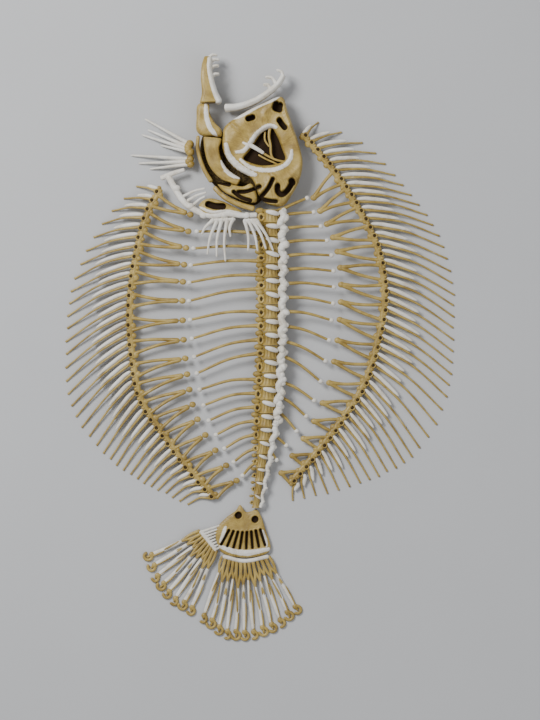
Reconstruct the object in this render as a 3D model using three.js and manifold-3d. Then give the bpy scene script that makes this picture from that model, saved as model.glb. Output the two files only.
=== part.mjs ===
// The skeleton of a left-eyed flatfish, life size, laid flat on its blind side.
// Millimetres. The head points to +Y, the dorsal fin lies to +X, the anal fin to -X,
// and +Z is up. The origin is under the middle of the whole outline, on the floor.
import * as THREE from 'three';
import { mergeVertices } from 'three/addons/utils/BufferGeometryUtils.js';
import Module from 'manifold-3d';

const wasm = await Module();
wasm.setup();

// ---- driving sizes -------------------------------------------------------------------
const GAP = 0.35; // clearance left between two bones that meet
const SPINES = 17; // neural spines, and as many forked supports in each long fin
const VERTEBRAE = 22;
const COLUMN_TOP = 110; // where the first centrum meets the skull
const COLUMN_END = -128; // where the last centrum meets the tail plate
const COLUMN_X = 9.2; // the column is straight in front ...
const BEND_START = 38; // ... and from here back it curves ...
const BEND_SWAY = 12.4; // ... towards the ventral side by this much at COLUMN_END
const PITCH = (COLUMN_TOP - COLUMN_END) / VERTEBRAE;
const CENTRUM_WIDTH = [14, 6.5]; // first and last centrum ...
const TAPER_START = -40; // ... which stay broad as far back as this
const ARCH_SHARE = [0.34, 0.42]; // width of the haemal and neural arches, as shares of it
const CENTRUM_WAIST = 0.74; // width of a centrum's middle, as a share of its ends
const PLANE_HEIGHT = [4.2, 15]; // height of the column's axis at the tail and at the head
const FIN_HEIGHT_SHARE = 0.62; // height of the fin's bead row, as a share of the column's ...
const SPINE_HEIGHT_SHARE = 0.8; // ... and of the spines' tips and the supports' inner ends
const BEAD_WIDTH = 6.6;
const BEAD_HEIGHT = 4.4;
const RAY_BASE = 3;
const RAY_TIP = 1.1;
const RAY_BOW = 0.07; // how far a ray bows forward, as a share of its length
const ARM_WIDTH = 1.9;
const FORK_KNOB = 3.8; // width of an arm where it meets the other arm
const FORK_SPREAD = 0.019; // how far an arm stands beside its support, as a share of the row
const SPINE_BASE = 2.8;
const SPINE_TIP = 1.7;
const KNOB = 3.4; // width of the knob on a spine's tip ...
const KNOB_SHARE = 0.94; // ... which takes the last part of its length
const SPINE_BOW = [0.015, 0.1]; // how far the first and the last spine bow headward, as a share of their reach
const EYED_LEVEL = 19.5; // height of the jaw halves of the eyed side ...
const BLIND_LEVEL = 7.5; // ... and of the blind side
const TOOTH = 2.2; // width of a tooth at its root
const TAIL_SLOTS = 8; // slots between the rays' sockets of the tail plate
const SLIVER = 0.1; // edges shorter than this are closed up after a join

const BONE = { color: 0xc2a565, roughness: 0.55, metalness: 0 };
const PALE_BONE = { color: 0xe9e4d6, roughness: 0.6, metalness: 0 };

// ---- making solids -------------------------------------------------------------------
const UP = new THREE.Vector3(0, 0, 1);
const TAILWARD = new THREE.Vector3(0, -1, 0);
const lerp = THREE.MathUtils.lerp;

function curveThrough(knots, closed = false) {
  const points = knots.map(([x, y, z = 0]) => new THREE.Vector3(x, y, z));
  return new THREE.CatmullRomCurve3(points, closed);
}

function toSolid(geometry) {
  geometry.deleteAttribute('normal');
  geometry.deleteAttribute('uv');
  const merged = mergeVertices(geometry, 1e-4);
  const vertProperties = new Float32Array(merged.attributes.position.array);
  const triVerts = new Uint32Array(merged.index.array);
  return new wasm.Manifold(new wasm.Mesh({ numProp: 3, vertProperties, triVerts }));
}

function joined(solids) {
  return solids.reduce((whole, next) => whole.add(next)).simplify(SLIVER);
}

// Either one number all along, or a pair that runs from the first end to the other.
function sizeAt(size, t) {
  if (typeof size === 'function') {
    return size(t);
  }
  return Array.isArray(size) ? lerp(size[0], size[1], t) : size;
}

// A bar along a curve. Its section has the given number of sides, the width lies in the
// floor's plane and the height is across it; nothing of it reaches below the floor. Its
// rings are evenly spread, or at the given places along the curve.
function bar(path, width, height, { sides = 4, steps = 4, places = null } = {}) {
  const curve = path.isCurve3 || path.getPoint ? path : curveThrough(path);
  const turn = sides % 2 ? 0 : Math.PI / sides;
  const geometry = new THREE.CylinderGeometry(1, 1, 1, sides, steps, false, turn);
  geometry.center();
  const size = geometry.boundingBox.getSize(new THREE.Vector3());
  geometry.scale(1 / size.x, 1, 1 / size.z);
  const spots = geometry.attributes.position;
  for (let i = 0; i < spots.count; i += 1) {
    const share = THREE.MathUtils.clamp(spots.getY(i) + 0.5, 0, 1);
    const t = places ? places[Math.round(share * steps)] : share;
    const spot = curve.getPoint(t);
    const along = curve.getTangent(t);
    const side = new THREE.Vector3().crossVectors(along, UP).normalize();
    const over = new THREE.Vector3().crossVectors(side, along);
    spot.addScaledVector(side, spots.getX(i) * sizeAt(width, t));
    spot.addScaledVector(over, spots.getZ(i) * sizeAt(height, t));
    spots.setXYZ(i, spot.x, spot.y, Math.max(spot.z, 0));
  }
  return toSolid(geometry);
}

// A rounded bone plate inside a closed outline, given counter-clockwise seen from above.
// It is thickest at its middle, and its underside is cut level at the given floor.
function dome(outline, middle, rise, { around = 14, rings = 4, floor = 0, flat = 0.6 } = {}) {
  const edge = curveThrough(outline, true);
  const centre = edge.getPoints(around).reduce((sum, p) => sum.add(p), new THREE.Vector3());
  centre.divideScalar(around + 1);
  const geometry = new THREE.SphereGeometry(1, around, rings);
  const spots = geometry.attributes.position;
  const turns = geometry.attributes.uv;
  for (let i = 0; i < spots.count; i += 1) {
    const pole = Math.abs(spots.getY(i)) > 0.9999;
    const spread = pole ? 0 : Math.hypot(spots.getX(i), spots.getZ(i)) ** flat;
    const rim = edge.getPoint(pole ? 0 : turns.getX(i) % 1);
    const spot = centre.clone().lerp(rim, spread);
    const z = middle + spots.getY(i) * rise;
    spots.setXYZ(i, spot.x, spot.y, Math.max(z, floor));
  }
  return toSolid(geometry);
}

// A rounded plate with one large opening. The outer outline and the opening's outline have
// as many knots, each opposite its fellow; halfHeight gives half the thickness by place.
function collar(outer, inner, middle, halfHeight, { around = 30, section = 6 } = {}) {
  const rim = curveThrough(outer, true);
  const lip = curveThrough(inner, true);
  const geometry = new THREE.TorusGeometry(1, 0.5, section, around);
  const spots = geometry.attributes.position;
  const turns = geometry.attributes.uv;
  const squared = (value) => Math.sign(value) * Math.sqrt(Math.abs(value));
  for (let i = 0; i < spots.count; i += 1) {
    const angle = 2 * Math.PI * turns.getY(i);
    const inward = 0.5 - 0.5 * squared(Math.cos(angle));
    const spot = rim.getPoint(turns.getX(i) % 1).lerp(lip.getPoint(turns.getX(i) % 1), inward);
    const up = Math.abs(Math.sin(angle)) < 0.01 ? 0 : squared(Math.sin(angle));
    spots.setXYZ(i, spot.x, spot.y, middle + up * halfHeight(spot.x, spot.y));
  }
  return toSolid(geometry);
}

// A round or slotted opening right through a plate.
function hole(x, y, length, width, turn = 0, sides = 8) {
  const geometry = new THREE.CylinderGeometry(0.5, 0.5, 60, sides);
  geometry.rotateX(Math.PI / 2);
  geometry.scale(length, width, 1);
  geometry.rotateZ(turn);
  geometry.translate(x, y, 15);
  return toSolid(geometry);
}

const group = new THREE.Group();

function addBone(name, solid, finish) {
  const mesh = solid.getMesh();
  const geometry = new THREE.BufferGeometry();
  const stride = mesh.numProp;
  const spots = new Float32Array(mesh.numVert * 3);
  for (let i = 0; i < mesh.numVert; i += 1) {
    spots.set(mesh.vertProperties.subarray(i * stride, i * stride + 3), i * 3);
  }
  geometry.setAttribute('position', new THREE.BufferAttribute(spots, 3));
  geometry.setIndex(new THREE.BufferAttribute(new Uint32Array(mesh.triVerts), 1));
  geometry.computeVertexNormals();
  const bone = new THREE.Mesh(geometry, new THREE.MeshStandardMaterial(finish));
  bone.name = name;
  group.add(bone);
}

// ---- the lie of the body -------------------------------------------------------------
function columnX(y) {
  const back = Math.max(0, BEND_START - y) / (BEND_START - COLUMN_END);
  return COLUMN_X - BEND_SWAY * back * back;
}

// Height of the body's middle plane above the floor, falling from the head to the tail.
function planeZ(y) {
  const share = THREE.MathUtils.smoothstep(y, COLUMN_END - 20, COLUMN_TOP);
  return lerp(PLANE_HEIGHT[0], PLANE_HEIGHT[1], share);
}

function centrumWidth(y) {
  const share = THREE.MathUtils.smoothstep(-y, -TAPER_START, -COLUMN_END);
  return lerp(CENTRUM_WIDTH[0], CENTRUM_WIDTH[1], share);
}

// ---- backbone ------------------------------------------------------------------------
// Tips of the spines and inner ends of the fin supports lie on smooth curves. vertebraOf
// tells which vertebra a spine stands on, and lead how far back on it; a few vertebrae are
// without one.
const BACK = {
  side: 1,
  rays: 43,
  cuts: [0, 0.279, 0.5317, 0.7893, 1], // where its lengths begin and end, as shares of the row
  stands: [0.143, 0.357, 0.556, 0.76, 0.98], // where supports stand on it, at five of them
  firstSpine: 0,
  vertebraOf: (i) => Math.max(0, i - 1) + (i > 11) + (i > 14),
  lead: (i) => (i === 0 ? 0.2 : 0.5), // two spines share the first vertebra
  spineTips: [[37.9, 119.2], [57.2, 73.6], [57.4, 22], [43.5, -42], [13.5, -89.5]],
  supports: [[43.2, 119.4], [62.2, 76.6], [64, 22.4], [50.5, -44], [17.6, -100]],
  beads: [[33, 171], [46.2, 155.7], [60, 139], [83, 102.4], [94.5, 76.6], [99.3, 39], [92.5, 0],
    [82.5, -30], [55, -71], [24, -108]],
  tips: [[38, 184.5], [86, 162], [109.3, 137], [144, 90], [154.5, 54], [155.3, 8], [150, -41],
    [126, -84], [81, -109], [22, -124]],
};
const BELLY = {
  side: -1,
  rays: 35,
  cuts: [0, 0.3132, 0.5143, 0.7458, 1],
  stands: [0.04, 0.275, 0.548, 0.774, 0.98],
  firstSpine: 1, // the first support rests on the shoulder girdle instead
  vertebraOf: (i) => i + (i > 5) + (i > 9),
  lead: (i) => (i < 6 ? 0.8 : 0.5),
  spineTips: [[-47.5, 106], [-56, 52], [-52, -7.2], [-40.5, -58], [-13.5, -102]],
  supports: [[-55, 106], [-61, 52.6], [-59.2, -8.4], [-49.5, -57], [-18.4, -106]],
  beads: [[-78.5, 127], [-89.6, 105.6], [-98.5, 70], [-103, 30], [-101, -5], [-94.5, -40],
    [-75, -71], [-54, -99], [-34.5, -120.5]],
  tips: [[-93, 134], [-124, 103], [-149, 52], [-155, 0], [-151, -47], [-127, -82],
    [-102, -103], [-77, -116], [-55, -127]],
};

function onCurve(knots, share) {
  return curveThrough(knots).getPoint(share);
}

// A spine tapers all along and ends in a knob.
function spineSize(t) {
  return t > KNOB_SHARE ? KNOB : lerp(SPINE_BASE, SPINE_TIP, t);
}

function spine(fin, index) {
  const rootY = COLUMN_TOP - PITCH * (fin.vertebraOf(index) + fin.lead(index));
  const tip = onCurve(fin.spineTips, index / (SPINES - 1));
  const rootX = columnX(rootY) + fin.side * 0.3 * centrumWidth(rootY);
  const rootZ = planeZ(rootY);
  const tipZ = SPINE_HEIGHT_SHARE * planeZ(tip.y);
  const bowY = lerp(...SPINE_BOW, index / (SPINES - 1)) * Math.abs(tip.x - rootX);
  const middle = [(rootX + tip.x) / 2, (rootY + tip.y) / 2 + bowY, (rootZ + tipZ) / 2 + 0.6];
  const path = [[rootX, rootY, rootZ], middle, [tip.x, tip.y, tipZ]];
  return bar(path, spineSize, spineSize, { sides: 3, steps: 3, places: [0, 0.5, KNOB_SHARE, 1] });
}

// One length of the column: centra like hourglasses, the arches beside them, the spines.
function columnLength(first, last) {
  const startY = COLUMN_TOP - PITCH * first - GAP / 2;
  const endY = COLUMN_TOP - PITCH * last + GAP / 2;
  const count = last - first;
  const axis = {
    getPoint: (t) => columnPoint(lerp(startY, endY, t)),
    getTangent: () => TAILWARD,
  };
  const hourglass = (t) => {
    const y = lerp(startY, endY, t);
    const waist = Math.abs(Math.sin(Math.PI * count * t));
    return centrumWidth(y) * lerp(1, CENTRUM_WAIST, waist);
  };
  const broad = (t) => hourglass(t) * (1 + ARCH_SHARE[0] + ARCH_SHARE[1]);
  const pieces = [bar(axis, broad, hourglass, { sides: 6, steps: count * 2 })];
  [BACK, BELLY].forEach((fin) => {
    for (let i = fin.firstSpine; i < SPINES; i += 1) {
      if (fin.vertebraOf(i) >= first && fin.vertebraOf(i) < last) {
        pieces.push(spine(fin, i));
      }
    }
  });
  return joined(pieces);
}

// The neural arches are broader than the haemal ones, which puts the middle off the axis.
function columnPoint(y) {
  const offset = centrumWidth(y) * (ARCH_SHARE[1] - ARCH_SHARE[0]) / 2;
  return new THREE.Vector3(columnX(y) + offset, y, planeZ(y));
}

const COLUMN_CUTS = [0, 5, 10, 16, VERTEBRAE];
for (let k = 0; k + 1 < COLUMN_CUTS.length; k += 1) {
  addBone(`backbone_${k + 1}`, columnLength(COLUMN_CUTS[k], COLUMN_CUTS[k + 1]), BONE);
}

// ---- dorsal and anal fins ------------------------------------------------------------
// A row of bead-like bones runs along the fin. Forked supports stand inside it and rays
// outside it, the rays evenly spread along the row.
function finLength(fin, from, to) {
  const row = curveThrough(fin.beads);
  const tips = curveThrough(fin.tips);
  const raise = (point, share) => new THREE.Vector3(point.x, point.y, share * planeZ(point.y));
  const onRow = (share) => raise(row.getPointAt(share), FIN_HEIGHT_SHARE);
  const trim = GAP / 2 / row.getLength();
  const path = {
    getPoint: (t) => onRow(lerp(from + trim, to - trim, t)),
    getTangent: (t) => row.getTangentAt(lerp(from + trim, to - trim, t)),
  };
  const steps = Math.round(SPINES * (to - from));
  const pieces = [bar(path, BEAD_WIDTH, BEAD_HEIGHT, { steps })];
  for (let i = 0; i < SPINES; i += 1) {
    const stand = onCurve(fin.stands.map((share) => [share, 0]), i / (SPINES - 1)).x;
    if (stand > from && stand < to) {
      const inner = raise(onCurve(fin.supports, i / (SPINES - 1)), SPINE_HEIGHT_SHARE);
      pieces.push(arm(inner, onRow(stand - FORK_SPREAD)));
      pieces.push(arm(inner, onRow(stand + FORK_SPREAD)));
    }
  }
  for (let b = 0; b < fin.rays; b += 1) {
    const share = (b + 0.5) / fin.rays;
    if (share > from && share < to) {
      pieces.push(ray(onRow(share), tips.getPoint(row.getUtoTmapping(share))));
    }
  }
  return joined(pieces);
}

// One arm of a support, stout where it meets the other arm.
function arm(inner, outer) {
  const size = [FORK_KNOB, ARM_WIDTH];
  return bar([inner.toArray(), outer.toArray()], size, size, { sides: 3, steps: 1 });
}

// A ray leaves its bead square to the row and bends tailward, its tip on the floor.
function ray(base, tip) {
  const end = new THREE.Vector3(tip.x, tip.y, RAY_TIP / 2);
  const reach = end.distanceTo(base);
  const middle = base.clone().lerp(end, 0.5);
  middle.y += RAY_BOW * reach;
  middle.z = lerp(base.z, end.z, 0.45);
  const taper = (t) => lerp(RAY_BASE, RAY_TIP, t ** 0.7);
  return bar([base, middle, end].map((p) => p.toArray()), taper, taper, { sides: 3, steps: 2 });
}

[['dorsal_fin', BACK], ['anal_fin', BELLY]].forEach(([name, fin]) => {
  for (let k = 0; k + 1 < fin.cuts.length; k += 1) {
    addBone(`${name}_${k + 1}`, finLength(fin, fin.cuts[k], fin.cuts[k + 1]), PALE_BONE);
  }
});

// ---- skull and jaws ------------------------------------------------------------------
// Both eyes sit on the upper side, so the orbit opens upwards and a bar of bone crosses it.
function skull() {
  const outer = [[18, 112.5], [26, 122], [32, 134], [34.3, 147], [31.5, 161], [27, 175],
    [22.5, 188], [18, 199.3], [2, 194], [-13, 186.4], [-27.6, 175.6], [-29.3, 167],
    [-28.4, 155], [-20, 143], [-6, 134], [2, 117]];
  const orbit = [[9, 145.3], [13, 146], [17, 147.3], [20.3, 149.8], [18, 158], [15.4, 165],
    [13, 170], [10.4, 174], [5, 173], [0.6, 169.5], [-3.6, 163], [-8, 156.5], [-12.6, 150.4],
    [-8, 147.5], [-2, 145.7], [3.5, 145]];
  const swells = [[16, 131, 17, 2.6], [-2, 184, 15, 1.4], [25, 172, 13, 2.2]];
  const halfHeight = (x, y) => swells.reduce((half, [atX, atY, spread, extra]) => half
    + extra * Math.exp(-((x - atX) ** 2 + (y - atY) ** 2) / spread ** 2), 5);
  const shield = collar(outer, orbit, 14.5, halfHeight);
  const bed = dome([[-16, 150], [4, 142], [23, 147], [18, 164], [11, 177], [-6, 168]], 11.5, 1.6,
    { around: 8, rings: 2 });
  const bridge = bar([[-13, 163, 17], [2, 156, 19], [12, 150.5, 18], [24, 148, 16]], [5, 3.5], 5,
    { steps: 3 });
  const post = bar([[5, 176, 16], [6.5, 165, 18], [10, 152, 18]], 2.6, 4, { steps: 2 });
  const nostrils = [hole(13.6, 191, 8, 6, 0.3), hole(-7.2, 182.4, 6, 3.6, 0.2),
    hole(18, 177.6, 7, 3.4, -0.7)];
  return nostrils.reduce((whole, opening) => whole.subtract(opening),
    joined([shield, bed, bridge, post]));
}

// A jaw is two branches, one on each side of the mouth, that meet at the chin or the lip.
function jaw(path, width, height, teeth) {
  const middle = (EYED_LEVEL + BLIND_LEVEL) / 2;
  const branch = (mirror) => path.map(([x, y, out]) => [x, y, middle + mirror * out]);
  const pieces = [bar(branch(1), width, height, { steps: 6 })];
  pieces.push(bar(branch(-1), width, height, { steps: 6 }));
  teeth.forEach(([x, y, tipX, tipY, out]) => {
    [1, -1].forEach((mirror) => {
      const z = middle + mirror * out;
      const bend = [(x + tipX) / 2 + 0.5, (y + tipY) / 2 + 1, z];
      pieces.push(bar([[x, y, z], bend, [tipX, tipY, z]], [TOOTH, 0.6], [TOOTH, 0.6],
        { sides: 3, steps: 2 }));
    });
  });
  return joined(pieces);
}

function upperJaw() {
  const path = [[-28, 190.5, 5.5], [-16, 191.8, 6], [-4, 196, 6], [8, 203.6, 5], [15, 210, 3.5],
    [19.5, 217, 1]];
  const teeth = [[18, 214.5, 13.6, 221.6, 2], [13.5, 209.5, 4, 215.2, 3.5],
    [9, 205, 2.5, 209.5, 4.5]];
  return jaw(path, [5.2, 4.6], 5, teeth);
}

function lowerJaw() {
  const path = [[-39.6, 195, 5.5], [-40, 203, 6], [-42, 214, 6], [-42.3, 224, 4.5],
    [-41, 231.5, 1.5]];
  const teeth = [231, 227, 222, 216].map((y, i) => [-39, y - 0.5, -32.6, y + 1.5, 1.5 + i * 1.3]);
  return jaw(path, (t) => lerp(17, 5.5, t ** 0.55), [7, 5], teeth);
}

addBone('skull', skull(), BONE);
addBone('upper_jaw', upperJaw(), PALE_BONE);
addBone('lower_jaw', lowerJaw(), BONE);

// ---- cheek and gill cover ------------------------------------------------------------
addBone('cheek', dome([[-48.8, 193.6], [-50.2, 182], [-50, 172.6], [-46, 168.7], [-38, 168.4],
  [-30.4, 168], [-30.4, 173.6], [-35.4, 179], [-39.6, 187], [-40.4, 194]], 14, 6), BONE);
const preopercleWidth = (t) => lerp(9.8, 6.5, t) + 2.6 * Math.sin(Math.PI * t);
addBone('preopercle', bar([[-39.2, 167.4, 14], [-39.2, 158, 14], [-35, 147, 13.5],
  [-27, 137.5, 13], [-16, 131.6, 12.5]], preopercleWidth, 8, { sides: 6, steps: 6 }), BONE);
addBone('interopercle', bar([[-48.9, 169, 12], [-49, 158, 12], [-44.6, 143, 12], [-38, 131.6, 12]],
  [2.6, 3.4], 7, { steps: 5 }), BONE);
addBone('opercle', dome([[-32, 129], [-28, 124.2], [-19, 119.4], [-10, 116.2], [-2.6, 116],
  [-2.4, 122], [-6.6, 130], [-13, 128], [-24, 128]], 16, 4.5), BONE);
addBone('subopercle', bar([[-36.4, 128, 12], [-28, 120, 14], [-15, 113.6, 15], [-3.6, 110.4, 15]],
  [3.6, 4.4], 5), BONE);
addBone('gill_cover_blind_side', dome([[-45, 170], [-47, 150], [-38, 132], [-22, 120],
  [-4, 114], [5, 124], [-4, 142], [-20, 158], [-34, 176]], 1.9, 3, { around: 16 }), BONE);

// ---- shoulder and paired fins --------------------------------------------------------
function shoulderGirdle() {
  const cleithrum = bar([[-73.5, 138, 9], [-65.6, 124, 10], [-59.2, 115.2, 12], [-48, 108, 14],
    [-37.6, 105, 16], [-25.6, 106.5, 17], [-12, 105, 17], [-1.5, 105.5, 16]], [5, 4], 5,
  { steps: 8 });
  const strut = bar([[-59.5, 142, 9], [-69, 139, 9], [-79, 135, 8]], [3, 4], 4, { steps: 2 });
  const scapula = dome([[-48, 113], [-44, 107], [-34, 104.5], [-22, 106.5], [-14, 108],
    [-22, 113], [-32, 117.5], [-42, 118.5]], 15.5, 3);
  const foramen = hole(-34.5, 112.6, 11, 4.4, -0.06);
  const stays = [[-61, 120.5, -43, 126.8], [-57.6, 117, -42, 123.6], [-53, 113.5, -43, 120.5]];
  const bars = stays.map(([x, y, endX, endY]) => bar([[x, y, 12], [(x + endX) / 2,
    (y + endY) / 2 + 0.8, 14], [endX, endY, 15]], [2, 1.4], [2, 1.4], { sides: 3, steps: 2 }));
  return joined([cleithrum, strut, scapula, ...bars]).subtract(foramen);
}

// Rays that fan out of one strip of base bone, from the first root and tip to the last.
function fan(base, tips, count, width, height, baseSize) {
  const strip = curveThrough(base);
  const rim = curveThrough(tips);
  const pieces = [bar(base, baseSize, baseSize, { steps: 3 })];
  for (let i = 0; i < count; i += 1) {
    const root = strip.getPoint((i + 0.5) / count);
    const tip = rim.getPoint(i / (count - 1));
    const middle = root.clone().lerp(tip, 0.5);
    middle.z = Math.max(lerp(root.z, tip.z, 0.4), tip.z);
    pieces.push(bar([root, middle, tip].map((p) => p.toArray()), width, height,
      { sides: 3, steps: 2 }));
  }
  return joined(pieces);
}

const LIFT = RAY_TIP / 2;
addBone('shoulder_girdle', shoulderGirdle(), PALE_BONE);
addBone('pectoral_fin_outer', fan([[-39, 101, 17], [-30, 101.6, 17.5], [-19, 102, 17.5]],
  [[-46, 90, 15], [-41.5, 74, 15], [-34, 72, 16], [-27, 68.4, 17], [-23, 88, 18]], 5, [2.3, 1.3],
  [2, 1.1], 2.8), PALE_BONE);
addBone('pectoral_fin_inner', fan([[-13, 100.6, 20], [-7, 101, 21.6], [-1, 101, 23.6]],
  [[-9, 76.6, 19], [-1.4, 76.6, 21.5], [5.2, 78, 23.6], [11, 76.6, 23.6]], 4, [2.3, 1.3],
  [2, 1.1], 2.8), PALE_BONE);
addBone('pelvic_fin_eyed_side', fan([[-55, 163.5, 9], [-57, 159, 9], [-54.5, 155, 9]],
  [[-92, 183.2, LIFT], [-89.6, 174.4, LIFT], [-94.4, 170.4, LIFT], [-79.2, 162, LIFT]],
  4, [2, 0.9], [2, 0.9], 4), PALE_BONE);
addBone('pelvic_fin_blind_side', fan([[-54.5, 151.5, 8], [-56.5, 148.5, 8], [-54, 145.5, 8]],
  [[-103.2, 154, LIFT], [-97, 147.5, LIFT], [-88, 143, LIFT]], 3, [2, 0.9], [2, 0.9], 4),
PALE_BONE);

// ---- tail ----------------------------------------------------------------------------
function tailPlate() {
  const edge = [[-15.5, -125.5], [-11, -131], [-6.5, -130.5], [-2.4, -129], [1, -134], [4.8, -145],
    [8.8, -160], [6, -164], [-12, -167.5], [-30, -163.5], [-33.5, -157], [-35, -146], [-27, -136],
    [-19, -130]];
  const outline = new THREE.Shape(curveThrough(edge, true).getPoints(28)
    .slice(0, -1).map((p) => new THREE.Vector2(p.x, p.y)));
  const plate = toSolid(new THREE.ExtrudeGeometry(outline, { depth: 3.4, bevelEnabled: false })
    .translate(0, 0, 1.4));
  const openings = [hole(-16.9, -133.8, 5.4, 5.4), hole(-3.6, -137, 5.4, 5.4)];
  for (let i = 0; i < TAIL_SLOTS; i += 1) {
    const share = i / (TAIL_SLOTS - 1);
    openings.push(hole(lerp(-27.5, 2.6, share), -151.4 - 2.4 * Math.sin(Math.PI * share), 2, 12,
      lerp(-0.5, 0.3, share), 4));
  }
  return openings.reduce((whole, opening) => whole.subtract(opening), plate);
}

addBone('tail_plate', tailPlate(), BONE);
addBone('tail_fin_main', fan([[7.5, -166.6, 3.2], [-12, -170.2, 3.2], [-29.6, -166.4, 3.2]],
  [[31.5, -212, LIFT], [13, -226, LIFT], [-8, -233, LIFT], [-28, -231.5, LIFT],
    [-46, -219, LIFT]], 12, [2, 3.6], [2.2, 0.9], 3.4), PALE_BONE);
addBone('tail_fin_lobe', fan([[-34.5, -162, 3.2], [-41, -154, 3.2], [-47.5, -146, 3.2]],
  [[-56, -213, LIFT], [-72, -203, LIFT], [-84, -188, LIFT], [-92, -168, LIFT]], 8,
  [1.8, 3.6], [2.2, 0.9], 3.4), PALE_BONE);

// The origin goes under the middle of the whole outline.
const extent = new THREE.Box3().setFromObject(group);
const middle = extent.getCenter(new THREE.Vector3());
group.children.forEach((bone) => bone.position.set(-middle.x, -middle.y, -extent.min.z));

export default group;
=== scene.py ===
"""A life-size flatfish skeleton, dressed as oiled and bleached bone, on a pale floor."""

from __future__ import annotations

import logging
import math
from dataclasses import dataclass, field, replace
from enum import Enum
from typing import Callable, Optional, Sequence, Union

import bpy
import numpy as np

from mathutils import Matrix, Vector

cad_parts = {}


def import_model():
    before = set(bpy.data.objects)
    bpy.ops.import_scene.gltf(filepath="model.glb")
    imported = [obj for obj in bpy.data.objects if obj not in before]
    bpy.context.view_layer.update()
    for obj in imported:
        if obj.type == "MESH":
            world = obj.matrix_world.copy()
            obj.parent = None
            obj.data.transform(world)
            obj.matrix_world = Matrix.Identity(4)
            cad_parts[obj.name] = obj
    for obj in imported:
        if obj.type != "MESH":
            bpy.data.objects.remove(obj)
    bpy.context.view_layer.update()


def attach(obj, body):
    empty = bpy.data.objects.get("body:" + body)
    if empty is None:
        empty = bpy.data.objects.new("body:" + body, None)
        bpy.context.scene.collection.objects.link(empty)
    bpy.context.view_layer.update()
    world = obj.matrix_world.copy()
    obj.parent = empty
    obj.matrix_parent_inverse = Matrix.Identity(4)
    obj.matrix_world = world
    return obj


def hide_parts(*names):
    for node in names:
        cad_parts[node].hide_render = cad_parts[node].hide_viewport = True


LOG = logging.getLogger("skeleton")

Knots = Union[np.ndarray, Sequence[Sequence[float]]]
Number = Union[np.ndarray, float]
Pair = tuple[float, float]
Triple = tuple[float, float, float]
Colour = tuple[float, float, float, float]
Profile = Callable[[np.ndarray], np.ndarray]
Size = Union[float, Pair, Profile]

MM = 0.001
TURN = 2.0 * np.pi
FINE = np.linspace(0.0, 1.0, 401)
OUTLINE_SHIFT = np.array([-0.355, 0.1, 0.0])  # from the drawing board's origin, in mm
BODY = "root"


class Tone(Enum):
    """How far a part of a bone is bleached: 0 is oil-stained, 1 is white."""

    OCHRE = 0.0
    WARM = 0.1
    PALE = 1.0


class Slot(Enum):
    """The record's material slots."""

    OCHRE = "ochre_bone"
    PALE = "pale_bone"


# ---- curves --------------------------------------------------------------------------
def blend(start: float, end: float, share: Number) -> Number:
    """Return the value a share of the way from start to end."""
    return start + (end - start) * share


def smooth(share: Number) -> Number:
    """Return a share eased at both of its ends, held within 0 and 1."""
    held = np.clip(share, 0.0, 1.0)
    return held * held * (3.0 - 2.0 * held)


def hump(share: Number, reach: float) -> Number:
    """Return a bell that is 1 at share 0 and falls off within a reach: exp(-(s / r) ** 2)."""
    return np.exp(-((share / reach) ** 2))


def sized(size: Size, share: np.ndarray) -> np.ndarray:
    """Return a size at shares of a length: even, between two ends, or a function of them."""
    ends = size if isinstance(size, tuple) else (size, size)
    return size(share) if callable(size) else blend(*ends, share)


def unit(vectors: np.ndarray) -> np.ndarray:
    """Return vectors at length one."""
    return vectors / np.linalg.norm(vectors, axis=-1)[..., None]


def grid(*values: Number) -> np.ndarray:
    """Return values spread over one shape and set side by side, as a last axis."""
    return np.stack(np.broadcast_arrays(*values), axis=-1)


def across(vectors: np.ndarray) -> np.ndarray:
    """Return vectors turned a quarter left, seen from above, and laid level."""
    return grid(-vectors[..., 1], vectors[..., 0], 0.0)


def travelled(spots: np.ndarray) -> np.ndarray:
    """Return the length travelled from the first spot to each."""
    return np.concatenate([[0.0], np.cumsum(np.linalg.norm(np.diff(spots, axis=0), axis=1))])


@dataclass(frozen=True)
class Route:
    """A smooth curve through a few knots, in millimetres.

    Each stretch between two knots is a cubic whose slopes come from the square roots of
    the distances between its neighbours, so that close knots make no loops.
    """

    knots: Knots
    closed: bool = False

    def at(self, share: np.ndarray) -> np.ndarray:
        """Return the points at shares of the curve, counted by knots.

        Args:
            share: from 0 at the first knot to 1 at the last.

        Returns:
            One row of x, y, z for each share.
        """
        knots = np.array([[*knot, 0.0][:3] for knot in self.knots], dtype=float)
        count = len(knots)
        spot = np.clip(share, 0.0, 1.0) * (count if self.closed else count - 1)
        first = np.floor(spot).astype(int)
        if self.closed:
            near = [knots[(first + k) % count] for k in (-1, 0, 1, 2)]
        else:
            first = np.minimum(first, count - 2)
            padded = np.vstack([2 * knots[0] - knots[1], knots, 2 * knots[-1] - knots[-2]])
            near = [padded[first + k] for k in range(4)]
        before, here, there, after = near
        rest = (spot - first)[:, None]
        back, step, on = (np.maximum(np.linalg.norm(b - a, axis=1), 1e-6)[:, None] ** 0.5
                          for a, b in zip(near, near[1:]))
        leave = (here - before) / back - (there - before) / (back + step)
        leave = (leave + (there - here) / step) * step
        reach = (there - here) / step - (after - here) / (step + on)
        reach = (reach + (after - there) / on) * step
        cubic = 2 * here - 2 * there + leave + reach
        square = -3 * here + 3 * there - 2 * leave - reach
        return here + leave * rest + square * rest**2 + cubic * rest**3

    def shares(self, lengths: np.ndarray) -> np.ndarray:
        """Return the knot shares that lie at the given shares of the curve's length."""
        gone = travelled(self.at(FINE))
        return np.interp(lengths * gone[-1], gone, FINE)


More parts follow.
